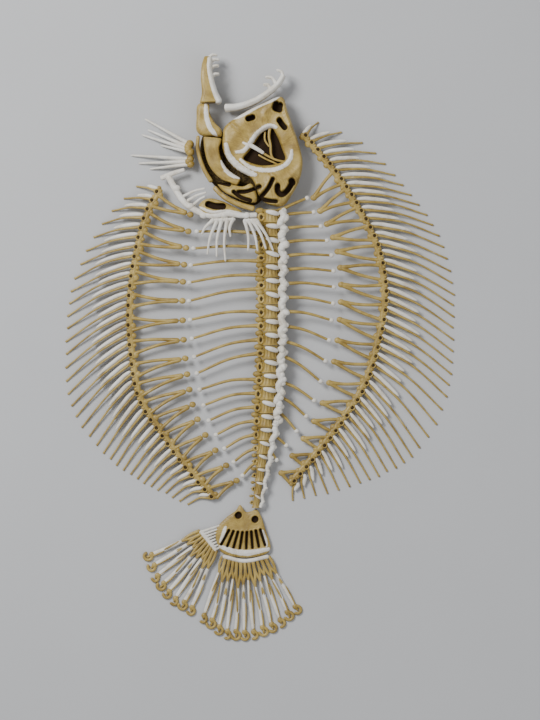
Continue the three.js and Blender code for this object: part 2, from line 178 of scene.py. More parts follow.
def rounded(places: np.ndarray, noses: Pair) -> np.ndarray:
    """Return the factor that closes a bar with quarter circles over a share at each end."""
    front, back = np.clip([places / noses[0], (1.0 - places) / noses[1]], 0.0, 1.0)
    return np.maximum(np.sqrt(1.0 - (1.0 - front) ** 2) * np.sqrt(1.0 - (1.0 - back) ** 2), 0.05)


# ---- marks worked into a surface -----------------------------------------------------
@dataclass(frozen=True)
class Mark:
    """A slot, pit or ridge along a route, worked into the upper side of a bone."""

    knots: Knots
    width: float
    lift: float
    pale: float = 0.0


@dataclass(frozen=True)
class Carving:
    """The marks of one region of bone, and a slow unevenness of its surface."""

    marks: tuple[Mark, ...] = ()
    uneven: float = 0.35
    lip: float = 0.3
    # strength of the painted shade inside the slots
    darkening: float = 1.4
    looks: int = 48

    def at(self, x: np.ndarray, y: np.ndarray) -> tuple[np.ndarray, np.ndarray, np.ndarray]:
        """Return what the marks add at places seen from above.

        The distance to a mark's route gives 1 inside half its width and 0 outside, over an
        eased edge; a slot sinks by it, has a low lip and is painted with shade inside, a ridge
        swells by a bell of it and thins towards both of its ends.

        Args:
            x: places across.
            y: places along.

        Returns:
            The added height, the bleaching and the dirt at each place.
        """
        wave = np.sin(0.21 * x + 1.3) * np.sin(0.17 * y) + 0.5 * np.sin(0.47 * x - 0.31 * y)
        ragged = 1.0 + 0.1 * np.sin(0.9 * x + 1.3 * y) * np.sin(1.7 * x - 0.6 * y)
        lift = self.uneven * wave
        pale, shade_paint, sink = np.zeros((3, *lift.shape))
        shares = np.linspace(0.0, 1.0, self.looks)
        for mark in self.marks:
            near, place = np.full(lift.shape, np.inf), np.zeros_like(lift)
            for share, spot in zip(shares, Route(mark.knots).at(shares)):
                far = (x - spot[0]) ** 2 + (y - spot[1]) ** 2
                place = np.where(far < near, share, place)
                near = np.minimum(near, far)
            away, half = np.sqrt(near), 0.5 * mark.width
            if mark.lift < 0.0:
                inside = smooth(half + 0.5 - away)
                lift = lift + self.lip * hump(away - half - 0.9, 0.6)
                sink = np.minimum(sink, mark.lift * inside)
                # painted shade inside the slot
                shade_paint = np.maximum(shade_paint, self.darkening * inside)
            else:
                half = half * (1.0 - 0.4 * np.abs(2.0 * place - 1.0) ** 3) * ragged
                lift = lift + mark.lift * hump(away, half)
                pale = np.maximum(pale, mark.pale * smooth((half - away) / 1.2 + 0.5))
        return lift + sink, pale, shade_paint


# ---- surfaces ------------------------------------------------------------------------
def placed(name: str, data: bpy.types.ID) -> bpy.types.Object:
    """Return a new object of a mesh, a light or a camera, put into the scene.

    Args:
        name: name of the object.
        data: what it shows.

    Returns:
        The object, at the origin.
    """
    thing = bpy.data.objects.new(name, data)
    bpy.context.scene.collection.objects.link(thing)
    return thing


@dataclass(frozen=True)
class Slab:
    """The thickness of a plate, and its looks.

    At spread u from the middle to the rim the half thickness is rise * sqrt(1 - u ** edge),
    above and below the middle level; the marks are worked into the upper side.
    """

    middle: float
    rise: float | Callable[[np.ndarray, np.ndarray], np.ndarray]
    edge: float
    carving: Carving = Carving()
    # painted shade, spread evenly over the whole plate
    soil: float = 0.0


@dataclass
class Surface:
    """Closed patches that grow together into the mesh of one bone.

    Every point also has a tone, a painted shade that darkens its hollows, holes and undersides,
    and its place in the bone's own grain, in millimetres across and along it.
    """

    parts: dict[str, list[np.ndarray]] = field(default_factory=lambda: {
        label: [] for label in ("point", "tone", "soil", "grain", "face")})
    count: int = 0

    def add(self, rings: np.ndarray, tone: Number, soil: Number, grain: np.ndarray,
            looped: bool = False) -> None:
        """Add a tube of rings, each end closed by a point at the ring's middle.

        Args:
            rings: points by ring and by place round it, outward when the rings run on
                with the places turning left; none goes below the floor.
            tone: tone by ring and place.
            soil: painted shade by ring and place.
            grain: across and along, by ring and place.
            looped: whether the last ring joins the first instead.
        """
        rings[..., 2] = np.maximum(rings[..., 2], 0.0)
        shape = rings.shape[:2]
        index = self.count + np.arange(shape[0] * shape[1]).reshape(shape)
        turned = np.roll(index, -1, axis=1)
        quads = np.stack([index, turned, *np.roll([turned, index], -1, axis=1)], axis=-1)
        self.parts["face"].append(quads[:shape[0] if looped else -1].reshape(-1, 4))
        for label, value in (("point", rings), ("tone", tone), ("soil", soil), ("grain", grain)):
            full = np.broadcast_to(value, shape + np.shape(value)[2:])
            ends = full[[0, -1]].mean(axis=1)[:0 if looped else 2]
            self.parts[label].append(np.concatenate([full.reshape(-1, *full.shape[2:]), ends]))
        self.count += index.size
        for near, far in () if looped else ((turned[0], index[0]), (index[-1], turned[-1])):
            middle = np.full_like(near, self.count)
            self.parts["face"].append(np.stack([near, far, middle, near], axis=-1))
            self.count += 1

    def build(self, name: str) -> bpy.types.Object:
        """Make the bone's object, with its tone, its painted shade and its grain as point attributes.

        Args:
            name: name of the new piece.

        Returns:
            The object, at the origin, smooth shaded, with its faces outward.
        """
        point, tone, soil, grain, corners = map(np.concatenate, self.parts.values())
        keep = np.ones(corners.shape, dtype=bool)
        keep[:, 3] = corners[:, 3] != corners[:, 0]
        sizes = keep.sum(axis=1)
        mesh = bpy.data.meshes.new(name)
        mesh.vertices.add(len(point))
        mesh.vertices.foreach_set("co", ((point + OUTLINE_SHIFT) * MM).astype(np.float32).ravel())
        mesh.loops.add(int(sizes.sum()))
        mesh.loops.foreach_set("vertex_index", corners[keep].astype(np.int32))
        mesh.polygons.add(len(corners))
        mesh.polygons.foreach_set("loop_start", (np.cumsum(sizes) - sizes).astype(np.int32))
        mesh.polygons.foreach_set("use_smooth", np.ones(len(corners), dtype=bool))
        mesh.update(calc_edges=True)
        mesh.validate()
        for label, values, kind, key in (("tone", tone, "FLOAT", "value"),
                                         ("soil", soil, "FLOAT", "value"),
                                         ("grain", grain, "FLOAT_VECTOR", "vector")):
            layer = mesh.attributes.new(label, kind, "POINT")
            values = np.pad(values, ((0, 0), (0, 1))) if values.ndim == 2 else values
            layer.data.foreach_set(key, values.astype(np.float32).ravel())
        return placed(name, mesh)

    def bar(self, path: Route | Knots, width: Size, height: Optional[Size] = None, *,
            flat: float = 1.0, sides: int = 10, steps: int = 20, noses: Pair = (0.03, 0.03),
            tone: Tone = Tone.OCHRE, soil: float = 0.0, ridge: float = 0.0, square: float = 1.0,
            carving: Optional[Carving] = None) -> None:
        """Carry an oval section along a route and round off both of its ends.

        A point at angle a of the section stands at side * cos(a) * width / 2 plus
        over * sin(a) * height / 2 from the route.

        Args:
            path: the route, or its knots.
            width: width seen from above.
            height: height across that, or nothing for a share of the width.
            flat: that share.
            sides: places round the section.
            steps: stretches along the route.
            noses: shares of the length that the round ends take.
            tone: bleaching.
            soil: painted shade along the underside.
            ridge: how far a keel stands up on top, as a share of the height.
            square: power of cosine and sine; less is squarer.
            carving: marks in the upper side.
        """
        route = path if isinstance(path, Route) else Route(path)
        nose = np.array([0.0, 0.15, 0.45])
        shares = np.unique(np.concatenate([np.linspace(0.0, 1.0, steps + 1), nose * noses[0],
                                           1.0 - nose * noses[1]]))
        spots = route.at(shares)
        along = unit(np.gradient(spots, axis=0))
        side = unit(np.cross(along, [0.0, 0.0, 1.0]))
        over = np.cross(side, along)
        factor = rounded(shares, noses)
        wide = 0.5 * factor * sized(width, shares)
        high = flat * wide if height is None else 0.5 * factor * sized(height, shares)
        angle = -TURN * np.arange(sides) / sides
        out, lift = (np.sign(wave) * np.abs(wave) ** square for wave in (np.cos(angle), np.sin(angle)))
        lift = lift * (1.0 + ridge * np.clip(np.sin(angle), 0.0, 1.0) ** 6)
        rings = (spots[:, None] + side[:, None] * (out * wide[:, None])[..., None]
                 + over[:, None] * (lift * high[:, None])[..., None])
        grain = grid(0.5 * angle * np.mean(wide + high), travelled(spots)[:, None])
        # Painted shade along the underside of the section, and in any carved slots of its upper side.
        shade, shade_paint = tone.value, soil * np.clip(-np.sin(angle), 0.0, 1.0)[None]
        if carving is not None:
            upper = smooth(2.0 * lift)[None]
            added, pale, hollow = carving.at(rings[..., 0], rings[..., 1])
            rings[..., 2] += added * upper * factor[:, None]
            shade, shade_paint = np.maximum(shade, pale * upper), np.maximum(shade_paint, hollow * upper)
        self.add(rings, shade, shade_paint, grain + 0.37 * self.count)

    def slab(self, flat: np.ndarray, spread: np.ndarray, sign: np.ndarray, body: Slab,
             grain: Sequence[np.ndarray], looped: bool = False) -> None:
        """Give flat rings of places the thickness of a slab.

        Args:
            flat: places by ring and by place round it.
            spread: how near to the rim each ring is.
            sign: 1 for the rings of the upper side, -1 for those of the lower.
            body: the slab.
            grain: across and along of the places.
            looped: whether the last ring joins the first.
        """
        round_off = np.sqrt(np.clip(1.0 - spread**body.edge, 0.0, 1.0))[:, None]
        added, pale, hollow = body.carving.at(flat[..., 0], flat[..., 1])
        upper = np.clip(sign, 0.0, 1.0)[:, None]
        half = body.rise(flat[..., 0], flat[..., 1]) if callable(body.rise) else body.rise
        z = body.middle + sign[:, None] * half * round_off + added * upper * smooth(2.0 * round_off)
        self.add(np.dstack([flat[..., :2], z]), pale * upper, np.maximum(body.soil, hollow * upper),
                 grid(*grain), looped)

    def plate(self, outline: Knots, body: Slab, around: int, rows: int) -> None:
        """Make a rounded plate inside an outline.

        Args:
            outline: knots of the closed outline, counter-clockwise from above.
            body: its thickness and its looks.
            around: places round the outline.
            rows: rings from the middle to the rim on the upper side.
        """
        turn = np.arange(around) / around
        rim = Route(outline, closed=True).at(turn)
        centre = rim.mean(axis=0)
        below = np.sin(np.linspace(0.03, 0.5, 10) * np.pi)
        spread = np.concatenate([below, np.sin(np.linspace(0.5, 0.01, rows) * np.pi)[1:]])
        sign = np.where(np.arange(len(spread)) < len(below), -1.0, 1.0)
        radius = np.linalg.norm((rim - centre)[:, :2], axis=1)
        self.slab(centre + (rim - centre) * spread[:, None, None], spread, sign, body,
                  (turn * TURN * radius.mean(), spread[:, None] * radius))

    def collar(self, outer: Knots, inner: Knots, centre: Pair, body: Slab) -> None:
        """Make a rounded plate with one opening, both outlines read at equal directions.

        Args:
            outer: knots of the outer outline.
            inner: knots of the opening's outline.
            centre: a place in the opening from which both outlines are seen whole.
            body: its thickness and its looks.
        """
        around, looks, upper_rows, lower_rows = 320, 900, 60, 20
        turn = TURN * np.arange(around) / around
        rims = []
        for knots in (outer, inner):
            fine = Route(knots, closed=True).at(np.arange(looks) / looks)[:, :2] - centre
            angle = np.mod(np.arctan2(fine[:, 1], fine[:, 0]), TURN)
            order = np.argsort(angle)
            reach = np.interp(turn, angle[order], np.linalg.norm(fine, axis=1)[order], period=TURN)
            rims.append(reach[:, None] * grid(np.cos(turn), np.sin(turn)))
        top = 0.5 - 0.5 * np.cos(np.linspace(0.0, np.pi, upper_rows))
        low = 0.5 + 0.5 * np.cos(np.linspace(0.0, np.pi, lower_rows))[1:-1]
        share = np.concatenate([top, low])
        sign = np.where(np.arange(len(share)) < len(top), 1.0, -1.0)
        flat = centre + blend(*rims, share[:, None, None])
        self.slab(flat, np.abs(2.0 * share - 1.0), sign, body,
                  (turn * 24.0, np.linalg.norm(flat - centre, axis=-1)), True)

    def lump(self, spot: Sequence[float], sizes: Sequence[float], *, tone: Tone = Tone.OCHRE,
             sides: int = 12, rows: int = 8, soil: float = 0.0) -> None:
        """Make an egg-shaped knob about a spot.

        Args:
            spot: its middle.
            sizes: its radii along X, Y and Z.
            tone: its bleaching.
            sides: places round it.
            rows: levels of it.
            soil: painted shade, even over the whole knob. its dirt.
        """
        turn = TURN * np.arange(sides) / sides
        polar = np.linspace(0.0, np.pi, rows + 1)[1:-1][:, None]
        ball = grid(np.sin(polar) * np.cos(turn), np.sin(polar) * np.sin(turn), -np.cos(polar))
        self.add(spot + ball * sizes, tone.value, soil, grid(turn * 2.0, polar * 3.0) + self.count)

    def ring(self, spot: Sequence[float], radii: Pair, thick: float, start: float = 0.0,
             sweep: float = 6.55) -> None:
        """Make a rim that lies flat: a full ring overlaps its own seam, less is a hook.

        Args:
            spot: its middle.
            radii: its radii along X and Y.
            thick: thickness of the rim.
            start: angle where it begins, in radians from +X.
            sweep: how far it runs round, in radians.
        """
        turn = start + np.linspace(0.0, sweep, 22)
        path = grid(radii[0] * np.cos(turn), radii[1] * np.sin(turn), 0.0)
        self.bar(path + spot, thick, steps=26, noses=(0.06, 0.06), soil=0.3)


# ---- finishes ------------------------------------------------------------------------
@dataclass(frozen=True)
class NodeSheet:
    """A small helper that lays nodes in a tree and links them by socket name."""

    tree: bpy.types.NodeTree

    def node(self, kind: str, links: Optional[dict[int | str, object]] = None,
             **values: object) -> bpy.types.Node:
        """Add one node.

        Args:
            kind: the node's type name, without the leading word.
            links: input name or place to an output socket, or to a value for that input.
            values: properties of the node itself.

        Returns:
            The new node.
        """
        new = self.tree.nodes.new(kind if kind.startswith("NodeGroup") else "ShaderNode" + kind)
        for name, value in values.items():
            setattr(new, name, value)
        for name, source in (links or {}).items():
            if isinstance(source, bpy.types.NodeSocket):
                self.tree.links.new(source, new.inputs[name])
            else:
                new.inputs[name].default_value = source
        return new

    def mix(self, share: object, first: object, second: object) -> bpy.types.NodeSocket:
        """Return the colour output of a mix of two colours."""
        return self.node("Mix", {0: share, 6: first, 7: second}, data_type="RGBA").outputs[2]

    def sum(self, first: object, second: object, operation: str = "ADD",
            clamp: bool = False) -> bpy.types.NodeSocket:
        """Return the output of one calculation on two numbers."""
        return self.node("Math", {0: first, 1: second}, operation=operation, use_clamp=clamp).outputs[0]

    def times(self, first: object, second: object) -> bpy.types.NodeSocket:
        """Return the product of two numbers."""
        return self.sum(first, second, "MULTIPLY")

    def ranged(self, *values: object) -> bpy.types.NodeSocket:
        """Return a value mapped from low and high, to 0 and 1 or to another low and high."""
        return self.node("MapRange", dict(enumerate(values))).outputs[0]

    def noise(self, place: object, scale: float, detail: float, rough: float) -> bpy.types.NodeSocket:
        """Return the value of a noise pattern at a place."""
        return self.node("TexNoise", {"Vector": place, "Scale": scale, "Detail": detail,
                                      "Roughness": rough}).outputs["Fac"]


def dressed(name: str) -> tuple[bpy.types.Material, NodeSheet]:
    """Return a new material with an empty sheet of nodes."""
    material = bpy.data.materials.new(name)
    material.use_nodes = True
    material.node_tree.nodes.clear()
    return material, NodeSheet(material.node_tree)


@dataclass(frozen=True)
class BoneFinish:
    """Dry bone: stained ochre or bleached, with long grain and pores, and painted shade in its hollows
    and under its parts.
    """

    name: str = "bone"
    ochre: tuple[Colour, ...] = ((0.20, 0.12, 0.025, 1.0), (0.40, 0.275, 0.062, 1.0),
                                 (0.56, 0.415, 0.13, 1.0))
    pale: tuple[Colour, ...] = ((0.55, 0.47, 0.34, 1.0), (0.80, 0.76, 0.67, 1.0),
                                (0.90, 0.885, 0.84, 1.0))
    # colour of the painted shade, also of the darkened pores
    shade_paint: Colour = (0.03, 0.018, 0.01, 1.0)
    stain_scale: float = 85.0
    speck_scale: float = 900.0
    pore_scale: float = 1300.0
    fibre_scale: Triple = (1.6, 0.16, 1.0)

    def texture_group(self) -> bpy.types.NodeTree:
        """Make the group of patterns that every bone shares.

        Returns:
            A group with inputs Tone, Soil (the painted shade) and Grain, and outputs Colour, Roughness,
            Gloss and Height.
        """
        tree = bpy.data.node_groups.new(self.name + "_pattern", "ShaderNodeTree")
        for label, way, kind in (("Tone", "INPUT", "Float"), ("Soil", "INPUT", "Float"),
                                 ("Grain", "INPUT", "Vector"), ("Colour", "OUTPUT", "Color"),
                                 ("Roughness", "OUTPUT", "Float"), ("Gloss", "OUTPUT", "Float"),
                                 ("Height", "OUTPUT", "Float")):
            tree.interface.new_socket(label, in_out=way, socket_type="NodeSocket" + kind)
        sheet = NodeSheet(tree)
        given = sheet.node("NodeGroupInput").outputs
        place = sheet.node("TexCoord").outputs["Object"]
        stain = sheet.noise(place, self.stain_scale, 4.0, 0.6)
        speck = sheet.noise(place, self.speck_scale, 3.0, 0.65)
        drawn = sheet.node("Mapping", {"Vector": given["Grain"], "Scale": self.fibre_scale})
        fibre = sheet.noise(drawn.outputs[0], 1.0, 4.0, 0.6)
        pore = sheet.node("TexVoronoi", {"Vector": place, "Scale": self.pore_scale})
        pits = sheet.times(sheet.ranged(pore.outputs["Distance"], 0.12, 0.34, 1.0, 0.0),
                           sheet.ranged(speck, 0.5, 0.62))
        wave = sheet.ranged(stain, 0.32, 0.68)
        body = sheet.sum(sheet.times(wave, 0.55), sheet.times(sheet.ranged(fibre, 0.3, 0.7), 0.45))
        ochre = sheet.mix(sheet.ranged(body, 0.0, 0.5), *self.ochre[:2])
        ochre = sheet.mix(sheet.ranged(body, 0.45, 0.95), ochre, self.ochre[2])
        pale = sheet.mix(sheet.ranged(body, 0.0, 0.45), *self.pale[:2])
        pale = sheet.mix(sheet.ranged(body, 0.45, 0.9), pale, self.pale[2])
        uneven = sheet.times(sheet.sum(wave, 0.5, "SUBTRACT"), 0.5)
        tone = sheet.ranged(sheet.sum(given["Tone"], uneven), 0.3, 0.7)
        # painted shade from the attribute, broken up by specks, joined with the darkened pores
        darkening = sheet.sum(given["Soil"], sheet.ranged(speck, 0.25, 0.8, 1.25, 0.6), "MULTIPLY", True)
        darkening = sheet.sum(darkening, sheet.times(pits, 0.55), "MAXIMUM")
        rough = sheet.sum(sheet.ranged(tone, 0.0, 1.0, 0.40, 0.56),
                          sheet.ranged(speck, 0.3, 0.7, -0.08, 0.1))
        height = sheet.sum(sheet.times(fibre, 0.5), sheet.times(speck, 0.3))
        # Where shade is painted, and in the pores, the colour darkens, the surface roughens and the gloss
        # drops.
        sheet.node("NodeGroupOutput", {
            "Colour": sheet.mix(darkening, sheet.mix(tone, ochre, pale), self.shade_paint),
            "Roughness": sheet.sum(rough, sheet.times(darkening, 0.3), "ADD", True),
            "Gloss": sheet.ranged(darkening, 0.0, 1.0, 0.5, 0.05),
            "Height": sheet.sum(height, sheet.times(pits, 0.5), "SUBTRACT")})
        return tree

    def material(self) -> bpy.types.Material:
        """Return the bone's material, made once."""
        if self.name in bpy.data.materials:
            return bpy.data.materials[self.name]
        material, sheet = dressed(self.name)
        given = [sheet.node("Attribute", attribute_name=label, attribute_type="GEOMETRY").outputs
                 for label in ("tone", "soil", "grain")]
        pattern = sheet.node("Group", node_tree=self.texture_group())
        for label, source in zip(("Tone", "Soil", "Grain"),
                                 (given[0]["Fac"], given[1]["Fac"], given[2]["Vector"])):
            sheet.tree.links.new(source, pattern.inputs[label])
        look = pattern.outputs
        bump = sheet.node("Bump", {"Height": look["Height"], "Strength": 0.55, "Distance": 0.0006})
        shader = sheet.node("BsdfPrincipled", {
            "Base Color": look["Colour"], "Roughness": look["Roughness"],
            "Specular IOR Level": look["Gloss"], "Normal": bump.outputs[0], "IOR": 1.5})
        sheet.node("OutputMaterial", {"Surface": shader.outputs[0]})
        return material


@dataclass(frozen=True)
class FloorFinish:
    """A pale, matt table top with a faint mottle."""

    name: str = "pale_floor"
    light: Colour = (0.57, 0.575, 0.58, 1.0)
    dark: Colour = (0.53, 0.535, 0.54, 1.0)

    def material(self) -> bpy.types.Material:
        """Return the floor's material."""
        material, sheet = dressed(self.name)
        mottle = sheet.noise(sheet.node("TexCoord").outputs["Object"], 9.0, 5.0, 0.5)
        shader = sheet.node("BsdfPrincipled", {"Base Color": sheet.mix(mottle, self.dark, self.light),
                                               "Roughness": 0.85})
        sheet.node("OutputMaterial", {"Surface": shader.outputs[0]})
        return material


# ---- the lie of the body -------------------------------------------------------------
@dataclass(frozen=True)
class Lie:
    """Where the backbone runs and how high the body's middle plane is, in millimetres."""

    top: float = 110.0
    end: float = -128.0
    vertebrae: int = 22
    column_x: float = 9.2
    bend_start: float = 38.0
    bend_sway: float = 12.4
    widths: Pair = (14.0, 6.5)
    taper_start: float = -40.0
    plane: Pair = (4.2, 15.0)
    fin_share: float = 0.62

    @property
    def pitch(self) -> float:
        """Length of one vertebra."""
        return (self.top - self.end) / self.vertebrae

    def x(self, y: Number) -> Number:
        """Return the column's place across, at a place along the body."""
        back = np.maximum(0.0, self.bend_start - y) / (self.bend_start - self.end)
        return self.column_x - self.bend_sway * back**2

    def z(self, y: Number) -> Number:
        """Return the height of the middle plane."""
        low = self.end - 20.0
        return blend(*self.plane, smooth((y - low) / (self.top - low)))

    def width(self, y: Number) -> Number:
        """Return the width of a centrum's end."""
        return blend(*self.widths, smooth((self.taper_start - y) / (self.taper_start - self.end)))


LIE = Lie()


def finish_piece(surface: Surface, name: str, slot: Slot, *nodes: str) -> None:
    """Build a bone, give it its finish and let it stand for its plain solids.

    Args:
        surface: the bone's patches.
        name: name of the piece.
        slot: the record's material slot; not used.
        nodes: names of the solids that the piece replaces.
    """
    piece = surface.build(name)
    piece.data.materials.append(BoneFinish().material())
    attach(piece, BODY)
    if nodes:
        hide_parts(*nodes)
    LOG.info("%s: %d faces", name, len(piece.data.polygons))


# ---- backbone ------------------------------------------------------------------------
@dataclass(frozen=True)
class FinPlan:
    """Where the spines, supports, beads and ray tips of one edge of the body lie.

    The supports stand on the row of beads as stands tells for five of them, and the lengths
    of the fin run between cuts, all as shares of the row's length. The first spines stand
    further along their vertebrae than the middle, as lead tells: how many, and how far.
    """

    name: str
    side: float
    rays: int
    cuts: tuple[float, ...]
    stands: tuple[float, ...]
    lead: tuple[int, float]
    first_spine: int
    shared: int
    bare_after: tuple[int, int]
    spine_tips: Knots
    supports: Knots
    beads: Knots
    tips: Knots
    seed: int
    lobe: float
    neck: float
    blade: float
    spines: int = 17

    def vertebra(self, index: int) -> int:
        """Return the vertebra that a spine stands on."""
        return max(0, index - self.shared) + sum(index > bare for bare in self.bare_after)

    def root(self, index: int) -> float:
        """Return where a spine stands on the column, counted in vertebrae."""
        return self.vertebra(index) + (self.lead[1] if index < self.lead[0] else 0.5)


BACK = FinPlan(
    name="dorsal_fin", side=1.0, rays=43, cuts=(0.0, 0.279, 0.5317, 0.7893, 1.0),
    stands=(0.143, 0.357, 0.556, 0.76, 0.98), lead=(1, 0.2), first_spine=0, shared=1,
    bare_after=(11, 14), seed=11, lobe=2.2, neck=0.0, blade=32.0,
    spine_tips=[[37.9, 119.2], [57.2, 73.6], [57.4, 22], [43.5, -42], [13.5, -89.5]],
    supports=[[43.2, 119.4], [62.2, 76.6], [64, 22.4], [50.5, -44], [17.6, -100]],
    beads=[[33, 171], [46.2, 155.7], [60, 139], [83, 102.4], [94.5, 76.6], [99.3, 39],
           [92.5, 0], [82.5, -30], [55, -71], [24, -108]],
    tips=[[38, 184.5], [86, 162], [109.3, 137], [144, 90], [154.5, 54], [155.3, 8],
          [150, -41], [126, -84], [81, -109], [22, -124]])
BELLY = FinPlan(
    name="anal_fin", side=-1.0, rays=35, cuts=(0.0, 0.3132, 0.5143, 0.7458, 1.0),
    stands=(0.04, 0.275, 0.548, 0.774, 0.98), lead=(6, 0.8), first_spine=1, shared=0,
    bare_after=(5, 9), seed=12, lobe=3.0, neck=3.0, blade=33.0,
    spine_tips=[[-47.5, 106], [-56, 52], [-52, -7.2], [-40.5, -58], [-13.5, -102]],
    supports=[[-55, 106], [-61, 52.6], [-59.2, -8.4], [-49.5, -57], [-18.4, -106]],
    beads=[[-78.5, 127], [-89.6, 105.6], [-98.5, 70], [-103, 30], [-101, -5], [-94.5, -40],
           [-75, -71], [-54, -99], [-34.5, -120.5]],
    tips=[[-93, 134], [-124, 103], [-149, 52], [-155, 0], [-151, -47], [-127, -82],
          [-102, -103], [-77, -116], [-55, -127]])
FINS = (BACK, BELLY)


@dataclass
class Backbone:
    """The column of hourglass centra with its arches and spines, in four lengths."""

    waist: float = 0.74
    disc_gap: float = 0.5
    cup: Pair = (1.6, 0.5)
    rows: int = 26
    around: int = 48
    ridges: int = 11
    ridge_depth: float = 0.04
    rim_arc: Pair = (2.25, 0.35)
    rim_width: float = 3.9
    rope_width: float = 0.39
    rope_reach: Pair = (0.55, 0.74)
    spine_width: Pair = (2.8, 2.0)
    spine_bow: Pair = (0.015, 0.1)
    dot: float = 1.95
    cuts: tuple[int, ...] = (0, 5, 10, 16, 22)
    seed: int = 5

    def centrum(self, surface: Surface, index: int) -> None:
        """Add one hourglass body, cupped at its ends, and the pale bar on its headward rim.

        At place s from -1 to 1 the radius is waist + (1 - waist) * |s| ** 2.2 of the end's,
        with fine ridges along it.

        Args:
            surface: the bone.
            index: the vertebra's number.
        """
        middle, half = LIE.top - LIE.pitch * (index + 0.5), (LIE.pitch - self.disc_gap) / 2.0
        wide = LIE.width(middle)
        place = np.sin(np.linspace(-np.pi / 2, np.pi / 2, self.rows))
        turn = TURN * np.arange(self.around) / self.around
        flute = np.cos(self.ridges * turn) * (1.0 - np.abs(place[:, None]) ** 3)
        radius = self.waist + (1.0 - self.waist) * np.abs(place[:, None]) ** 2.2
        size = radius * (1.0 + self.ridge_depth * flute) * wide / 2.0
        size = np.concatenate([[0.45 * size[0], 0.86 * size[0]], size,
                               [0.86 * size[-1], 0.45 * size[-1]]])
        y = middle + half * place
        y = np.concatenate([y[0] + self.cup, y, y[-1] - self.cup[::-1]])[:, None]
        rings = grid(LIE.x(y) + size * np.cos(turn), y, LIE.z(y) - size * np.sin(turn))
        # Painted shade: full over the cupped ends, where the centra meet, and in the grooves between the
        # ridges.
        soil = np.ones(size.shape)
        soil[2:-2] = 0.6 * np.clip(-flute, 0.0, 1.0)
        surface.add(rings, Tone.OCHRE.value, soil, grid(turn * size.mean(), y))
        width = self.rim_width * wide / LIE.widths[0]
        angle = np.linspace(*self.rim_arc, 7)
        reach, tilt = 0.46 * wide, 0.7 * math.sin(index * 1.7) - 1.3
        y = middle + half - 0.6 * width + tilt * np.cos(angle)
        rim = grid(LIE.x(y) + reach * np.cos(angle), y, LIE.z(y) + reach * np.sin(angle))
        surface.bar(rim, lambda t: width * (0.5 + 0.5 * np.sin(np.pi * t)),
                    2.4 * wide / LIE.widths[0], sides=16, steps=24, noses=(0.12, 0.1),
                    tone=Tone.PALE, soil=0.4)

    def haemal(self, surface: Surface, index: int) -> None:
        """Add the ochre loop on the ventral side of a vertebra, a knob in it painted dark as the shade of
        its opening, and two knobs beside it.
        """
        middle, wave = LIE.top - LIE.pitch * (index + 0.5), math.sin(index * 2.7)
        wide, spot = LIE.width(middle), np.array([LIE.x(middle), middle, LIE.z(middle)])
        hole = spot + [-0.55 * wide, -0.8, 0.1 * wide]
        size = (0.15 + 0.02 * wave) * wide, (0.19 - 0.03 * wave) * wide
        surface.ring(hole, size, 0.17 * wide)
        # a knob in the ring, painted fully dark as the shade inside the opening
        surface.lump(hole - [0.0, 0.0, 0.04 * wide], [*size, 0.12 * wide], soil=1.0)
        surface.lump(spot + [-0.63 * wide, 0.4 * LIE.pitch, 0.0],
                     [(0.27 + 0.03 * wave) * wide, 0.18 * wide, 0.17 * wide], sides=16, rows=10,
                     soil=0.2)
        surface.lump(spot - [0.76 * wide, (0.1 + 0.08 * wave) * LIE.pitch, 0.0],
                     [0.12 * wide, 0.08 * wide, 0.09 * wide], soil=0.2)

    def rope(self, surface: Surface, first: int, last: int, rng: np.random.Generator) -> None:
        """Add the pale neural arches of one length: a knobby zigzag beside the centra.

        Args:
            surface: the bone.
            first: its first vertebra.
            last: the vertebra after its last.
            rng: source of small differences.
        """
        place = np.linspace(first, last, 4 * (last - first) + 1)
        y = LIE.top - LIE.pitch * np.clip(place, first + 0.03, last - 0.03)
        wide = LIE.width(y)
        out = blend(*self.rope_reach, 0.5 - 0.5 * np.cos(TURN * place))
        path = grid(LIE.x(y) + wide * (out + rng.uniform(-0.02, 0.02, len(y))), y, LIE.z(y) + 0.16 * wide)
        even = np.linspace(0.0, 1.0, len(y))
        surface.bar(path, lambda t: self.rope_width * np.interp(t, even, wide), sides=20,
                    steps=len(y) * 8, noses=(0.01, 0.01), tone=Tone.PALE, soil=0.5, ridge=0.1)
        for spot, width in zip(path[1:-1], wide[1:-1]):
            size = width * rng.uniform(0.15, 0.23, 3)
            shift = width * (rng.uniform(-0.09, 0.09, 3) + [0.03, 0.0, 0.04])
            surface.lump(spot + shift, size, tone=Tone.PALE, sides=14, rows=10)
        for spot, width in zip(path[2::4], wide[2::4]):
            surface.lump(spot + width * np.array([0.08, 0.0, -0.05]),
                         width * np.array([0.2, 0.16, 0.17]), tone=Tone.PALE, sides=16)

    def spine(self, surface: Surface, fin: FinPlan, index: int) -> None:
        """Add one spine with a flared root, and the pale knob at its tip.

        Args:
            surface: the bone.
            fin: the edge of the body that the spine points to.
            index: the spine's number.
        """
        root_y = LIE.top - LIE.pitch * fin.root(index)
        share = index / (fin.spines - 1)
        tip = Route(fin.spine_tips).at(np.array([share]))[0]
        tip[2] = 0.8 * LIE.z(tip[1])
        root = np.array([LIE.x(root_y) + fin.side * 0.3 * LIE.width(root_y), root_y, LIE.z(root_y)])
        bow = blend(*self.spine_bow, share) * abs(tip[0] - root[0])
        middle = (root + tip) / 2.0 + [0.0, bow, 0.6]
        surface.bar([root, middle, tip], lambda t: blend(*self.spine_width, t) + 1.3 * hump(t, 0.16),
                    flat=0.85, sides=12, steps=30, noses=(0.02, 0.02), soil=0.7, ridge=0.35)
        surface.lump(tip + [0.0, 0.0, 0.2], [self.dot, self.dot * 0.94, self.dot * 0.8],
                     tone=Tone.PALE, sides=16, rows=10)

